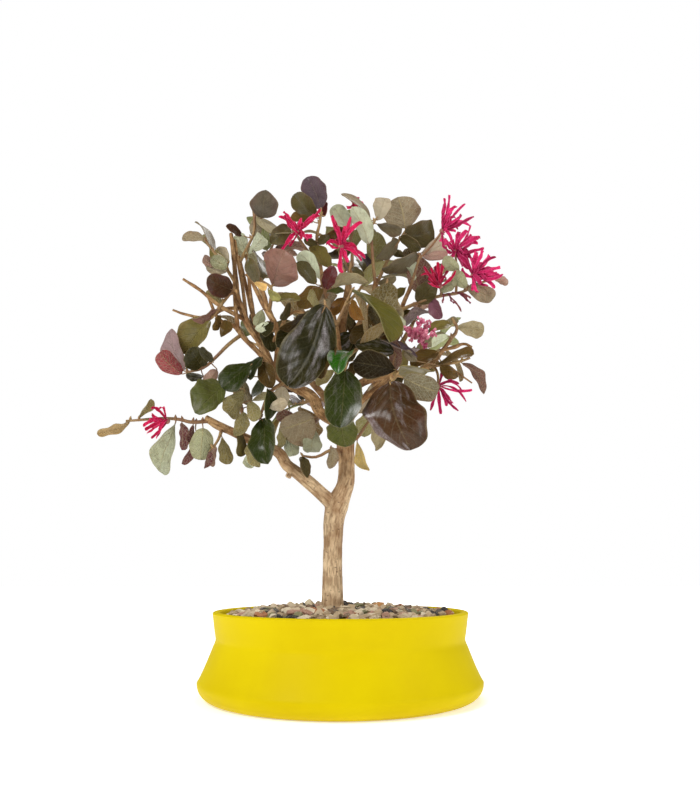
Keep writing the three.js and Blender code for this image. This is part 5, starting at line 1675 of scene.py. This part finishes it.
# %% Blooms: tone, petal widths in mm, stalk, the CAD petals' tips and more petals' tips
USUAL_WIDTHS = (1.2, 2)
BLOOMS = {
    "low_left": (
        "crimson", (1.2, 2.1), [(168, 419, -16), (167, 421, -22)],
        [(151, 408), (152, 414), (143, 426), (147, 433), (151, 438), (156, 438)],
        [(160, 431), (149, 420), (158, 410), (145, 430)],
    ),
    "top_left": (
        "crimson", (1.5, 2.7), [(297, 236, -11), (298, 232, -18)],
        [(283, 212), (320, 209), (308, 240), (282, 250)],
        [(279, 216), (314, 214), (312, 236), (305, 226), (286, 244), (289, 224)],
    ),
    "top_middle": (
        "crimson", (1.5, 2.7), [(350, 276, 8), (345, 262, -6), (341, 247, -14)],
        [(333, 215), (351, 217), (362, 222), (365, 258), (342, 273), (322, 243)],
        [(331, 216), (345, 226), (357, 252), (349, 262), (328, 243), (338, 226), (362, 260)],
    ),
    "top_back": (
        "crimson", USUAL_WIDTHS, [(351, 238, 5), (355, 222, 4), (356, 211, 3)],
        [(350, 199), (357, 197), (363, 203), (347, 207)],
        [],
    ),
    "right_top": (
        "pink", (1.5, 2.6), [(420, 258, -3), (433, 244, -4), (442, 231, -5)],
        [(444, 198), (449, 195), (456, 206), (465, 204), (474, 217)],
        [(447, 248), (452, 242), (452, 212), (461, 214), (470, 226), (446, 214), (449, 222)],
    ),
    "right_middle": (
        "pink", (1.6, 2.7), [(456, 293, -8), (457, 272, -7), (455, 252, -7)],
        [(479, 238), (470, 225), (471, 258), (440, 240)],
        [(478, 243), (475, 262), (469, 269), (463, 266), (461, 243), (446, 238), (443, 246), (466, 246),
         (474, 250), (459, 232), (450, 262), (484, 248), (480, 237), (471, 234), (447, 256), (464, 254)],
    ),
    "right_out": (
        "pink", (1.6, 2.7), [(476, 285, -9), (473, 276, -13)],
        [(482, 250), (489, 255), (496, 257), (500, 267), (503, 275), (500, 281), (495, 288)],
        [(476, 252), (492, 268), (497, 273), (489, 283), (484, 264), (478, 292), (459, 256), (464, 251),
         (470, 258), (488, 276), (481, 284), (462, 268)],
    ),
    "right_deep": (
        "blood", (1.2, 2.2), [(442, 295, -7), (440, 286, -12)],
        [(438, 262), (431, 268), (421, 275), (450, 268), (456, 271)],
        [(424, 266), (446, 262), (436, 266), (428, 283)],
    ),
    "right_low": (
        "pink", USUAL_WIDTHS, [(434, 366, -9), (438, 376, -16), (438, 386, -18)],
        [(459, 384), (472, 390), (466, 402), (453, 403), (458, 411), (441, 414), (430, 410), (446, 364)],
        [(462, 390), (447, 406)],
    ),
    "young": (
        "dusty", USUAL_WIDTHS, [(398, 322, 2), (412, 332, -12), (418, 334, -18)],
        [(404, 325), (411, 341), (420, 315), (432, 321), (437, 335), (425, 348)],
        [],
    ),
}
PETAL_TONES = {
    "crimson": (paint(176, 0, 44), paint(226, 28, 90)),
    "pink": (paint(140, 2, 54), paint(228, 44, 112)),
    "blood": (paint(140, 0, 28), paint(200, 8, 52)),
    "dusty": (paint(150, 56, 80), paint(230, 156, 170)),
    "withered": (paint(72, 46, 40), paint(124, 88, 66)),
}
print("Flowers:", len(BLOOMS))

# %% [markdown]
# Under one flower the petals of an older one have withered to brown threads. They are the same strap, laid
# narrow.

# %% Withered petals: start and tip in the picture
WITHERED_WIDTHS = (0.8, 1.3)
WITHERED_DEPTHS = (-8, -10)
WITHERED = {
    "right_deep": [
        ((447, 293), (461, 312)), ((449, 293), (455, 303)), ((458, 292), (471, 303)),
        ((461, 292), (467, 298)), ((444, 294), (443, 303)), ((452, 292), (471, 298)),
    ],
}
print("Withered petals:", len(WITHERED["right_deep"]))

# %% Lay a petal
PETAL_SHIFTS = (0, 5, -5, 10, -10, 15, -15)
CURL = 1.5 * MM
TWIST = 1.3


def between(tones):
    """A tone by chance between a deep and a light one."""
    share = whim.random()
    return [deep + (light - deep) * share for deep, light in zip(*tones)]


def lay_petal(begin, tip, bow, tones, widths):
    """A copy of the strap, bowed and curled from the flower's heart to the petal's tip."""
    width = whim.uniform(*(size * MM for size in widths))
    petal = copy_of(strap)
    flat = corners_of(petal)
    x, y, z = flat[:, 0], flat[:, 1], flat[:, 2]
    run = tip - begin
    along = run.normalized()
    side = along.cross(EYE - begin).normalized()
    face = side.cross(along).normalized()
    sway = CURL * whim.uniform(-1, 1) * np.sin(math.pi * y) * y
    nod = CURL * whim.uniform(-1, 1) * np.sin(2 * math.pi * y)
    twist = whim.uniform(-TWIST, TWIST) * y
    across = x * np.cos(twist) * width - z * np.sin(twist)
    out = x * np.sin(twist) * width + z * np.cos(twist)
    places = np.outer(y * run.length, along) + np.outer(across + sway, side) + np.outer(out + nod, face)
    places[:, 2] += 4 * y * (1 - y) * bow
    move_corners(petal, places + np.array(begin))
    dye(petal, between(tones))
    petal.data.materials.append(crepe.material)
    return petal


def cad_petal_tip(node, across, down, depth):
    """The petal's tip at the shift that the CAD solid used."""
    tips = [at(across, down, depth + shift) for shift in PETAL_SHIFTS]
    return min(tips, key=lambda tip: miss(node, tip))


# %% The shorter petals in the middle of a full flower
INNER_PETALS = 3
INNER_SHARE = (0.35, 0.55)
SIDE_SHARE = (0.5, 0.9)


def side_tip(heart, tip):
    """The tip of a shorter petal that stands beside a longer one."""
    reach = (tip - heart).length
    aside = any_way(whim) * 0.25 * reach
    return heart + ((tip - heart) + aside).normalized() * reach * whim.uniform(*SIDE_SHARE)


def inner_tip(heart, tips):
    """The tip of a short curled petal near the flower's middle."""
    outward = sum((tip - heart for tip in tips), Vector()).normalized()
    aside = any_way(whim)
    reach = sum((tip - heart).length for tip in tips) / len(tips)
    return heart + (outward * 0.7 + aside).normalized() * reach * whim.uniform(*INNER_SHARE)


# %% The petal's finish
# The petals glow faintly by themselves: a painted glow in their own colour, standing in for light that shines
# through them.
crepe = Finish("crepe_petal", Roughness=0.6, Specular_IOR_Level=0.1, Emission_Strength=0.05)
across_map, along, _ = crepe.parts(crepe.node("TexCoord", output="UV"))
tone = crepe.attribute("tone", "Color")
crinkle = crepe.noise(crepe.places(), 900, 4)
lines = ((across_map * 34 + crinkle * 3).sine() + 1) * 0.5
edge = crepe.rise(abs(across_map - 0.5) * 2, 0.55, 1.0)
root_dark = crepe.blend(crepe.rise(along, 0.0, 0.35, 0.45, 0.0), tone, paint(130, 8, 50))
streaky = crepe.blend(lines * 0.12 + edge * 0.3, root_dark, paint(250, 120, 175))
petal_colour_and_glow = crepe.blend(crepe.rise(crinkle, 0.42, 0.7, 0, 0.5), streaky, paint(140, 0, 44))
crepe.colour(petal_colour_and_glow)
# The same colour feeds the painted glow.
crepe.plug(crepe.shader.inputs["Emission Color"], petal_colour_and_glow)
crepe.relief(lines * 0.5 + crinkle * 0.5, 0.2 * MM)

cup = Finish("hairy_calyx", Roughness=0.8)
fuzz = cup.noise(cup.places(), 1100, 4)
cup.colour(cup.blend(cup.rise(fuzz, 0.35, 0.65), paint(120, 62, 62), paint(176, 130, 110)))
cup.relief(fuzz, 0.4 * MM)
print("Finishes made:", crepe.material.name, "and", cup.material.name)

# %% [markdown]
# One flower is still in bud: a hanging cluster of small, dusty pink knobs. A knob is a ball drawn out to
# a blunt point and creased by a displacement. Copies of it sit close together along each of the lines
# that the CAD petals follow.

# %% A knob of the young cluster
BUDS_IN_LINE = 7
BUDS_BETWEEN = 14
BUD_SIZES = (0.8 * MM, 1.4 * MM)
BUD_SHARE = (0.3, 0.95)
BUD_CREASES = 0.8
BUD_SHAKE = 1.1
BUD_TILT = 0.9
start()
bpy.ops.mesh.primitive_ico_sphere_add(subdivisions=2, radius=1)
knob = named("bud_pattern")
edit_all()
bpy.ops.transform.resize(value=(0.8, 0.8, 1.25), center_override=(0, 0, 0))
bpy.ops.object.mode_set(mode="OBJECT")
modify(knob, "DISPLACE", texture=bumpy, strength=BUD_CREASES)
bpy.ops.object.shade_smooth()


def bud_cluster(heart, ends):
    """Knobs along the lines from the flower's heart, smaller towards their ends."""
    spots = []
    for end in ends:
        spots += [(heart.lerp(end, (i + 0.6) / BUDS_IN_LINE), end) for i in range(BUDS_IN_LINE)]
    for end, other in zip(ends, ends[1:] + ends[:1]):
        for _ in range(BUDS_BETWEEN):
            aside = end.lerp(other, whim.random())
            spots.append((heart.lerp(aside, whim.uniform(*BUD_SHARE)), aside))
    knobs = []
    for place, end in spots:
        shake = Vector([whim.uniform(-BUD_SHAKE, BUD_SHAKE) * MM for _ in range(3)])
        share = (place - heart).length / (end - heart).length
        size = BUD_SIZES[1] + (BUD_SIZES[0] - BUD_SIZES[1]) * share
        aim = (end - heart).to_track_quat("Z", "Y").to_matrix().to_4x4()
        tilt = Matrix.Rotation(whim.uniform(-BUD_TILT, BUD_TILT), 4, "X")
        bud = copy_of(knob)
        bud.data.transform(Matrix.Translation(place + shake) @ aim @ tilt @ Matrix.Scale(size, 4))
        dye(bud, between(PETAL_TONES["dusty"]))
        bud.data.materials.append(crepe.material)
        knobs.append(bud)
    return knobs


print("Bud pattern:", triangles(knob), "triangles")

# %% The heart of a flower: its stalk and its hairy calyx
FLOWER_STALK = (0.8 * MM, 0.65 * MM)
CALYX_RADIUS = 1.6 * MM
CALYX_LOBES = 0.9 * MM


def flower_heart(route):
    """The stalk along its route, and a lobed calyx at its end."""
    stems = tubes("stems", [(route, tapered(route, *FLOWER_STALK))], roundness=2, steps=6)
    stems.data.materials.append(stalk.material)
    start()
    bpy.ops.mesh.primitive_ico_sphere_add(subdivisions=3, radius=CALYX_RADIUS, location=route[-1])
    calyx = named("calyx")
    bpy.ops.object.transform_apply(location=True)
    modify(calyx, "DISPLACE", texture=bumpy, texture_coords="LOCAL", strength=CALYX_LOBES)
    calyx.data.materials.append(cup.material)
    return [stems, calyx]


# %% The petals of a flower
PETAL_START = 1.05 * MM
PETAL_DEPTHS = (-9, 3, -4, 8)
MORE_DEPTHS = (-7, -2, 4, -4, 1)
PETAL_BOWS = (1.5 * MM, -1.5 * MM, 3 * MM)
LOOSE_FLOWERS = ["right_low", "low_left"]


def petals_of(name, heart, depth, ends, more, tones, widths):
    """The CAD model's petals, shorter ones beside them in a full flower, and those drawn besides."""
    begins = [heart.lerp(tip, PETAL_START / (tip - heart).length) for tip in ends]
    shorter = []
    if name not in LOOSE_FLOWERS:
        shorter += [side_tip(heart, tip) for tip in ends]
        shorter += [inner_tip(heart, ends) for _ in range(INNER_PETALS)]
    for i, (across, down) in enumerate(more):
        shorter.append(at(across, down, depth + MORE_DEPTHS[i % len(MORE_DEPTHS)]))
    lines = list(zip(begins, ends)) + [(heart, tip) for tip in shorter]
    bows = [PETAL_BOWS[i % len(PETAL_BOWS)] for i in range(len(lines))]
    return [lay_petal(*line, bow, tones, widths) for line, bow in zip(lines, bows)]


# %% Build the flowers
for name, (tint, widths, stalk_places, tips, more) in BLOOMS.items():
    route = [at(*place) for place in stalk_places]
    heart, depth = route[-1], stalk_places[-1][2]
    parts = flower_heart(route)
    ends = []
    for i, (across, down) in enumerate(tips):
        ends.append(cad_petal_tip(f"bloom_{name}", across, down, depth + PETAL_DEPTHS[i % len(PETAL_DEPTHS)]))
    if name == "young":
        parts += bud_cluster(heart, ends)
    else:
        parts += petals_of(name, heart, depth, ends, more, PETAL_TONES[tint], widths)
    for begin_place, tip_place in WITHERED.get(name, []):
        begin, tip = at(*begin_place, WITHERED_DEPTHS[0]), at(*tip_place, WITHERED_DEPTHS[1])
        parts.append(lay_petal(begin, tip, 0, PETAL_TONES["withered"], WITHERED_WIDTHS))
    bloom = joined(f"flower_{name}", parts)
    stand_for(bloom, f"bloom_{name}")
print("Flowers built:", len(BLOOMS))

# %% [markdown]
# ## Clear up
#
# The patterns have done their work. The new pieces should keep to the CAD model's box, apart from a few
# rims of folded leaves in front and on top.

# %% Remove the patterns
for pattern in (fine_leaf, plain_leaf, strap, knob):
    bpy.data.objects.remove(pattern)
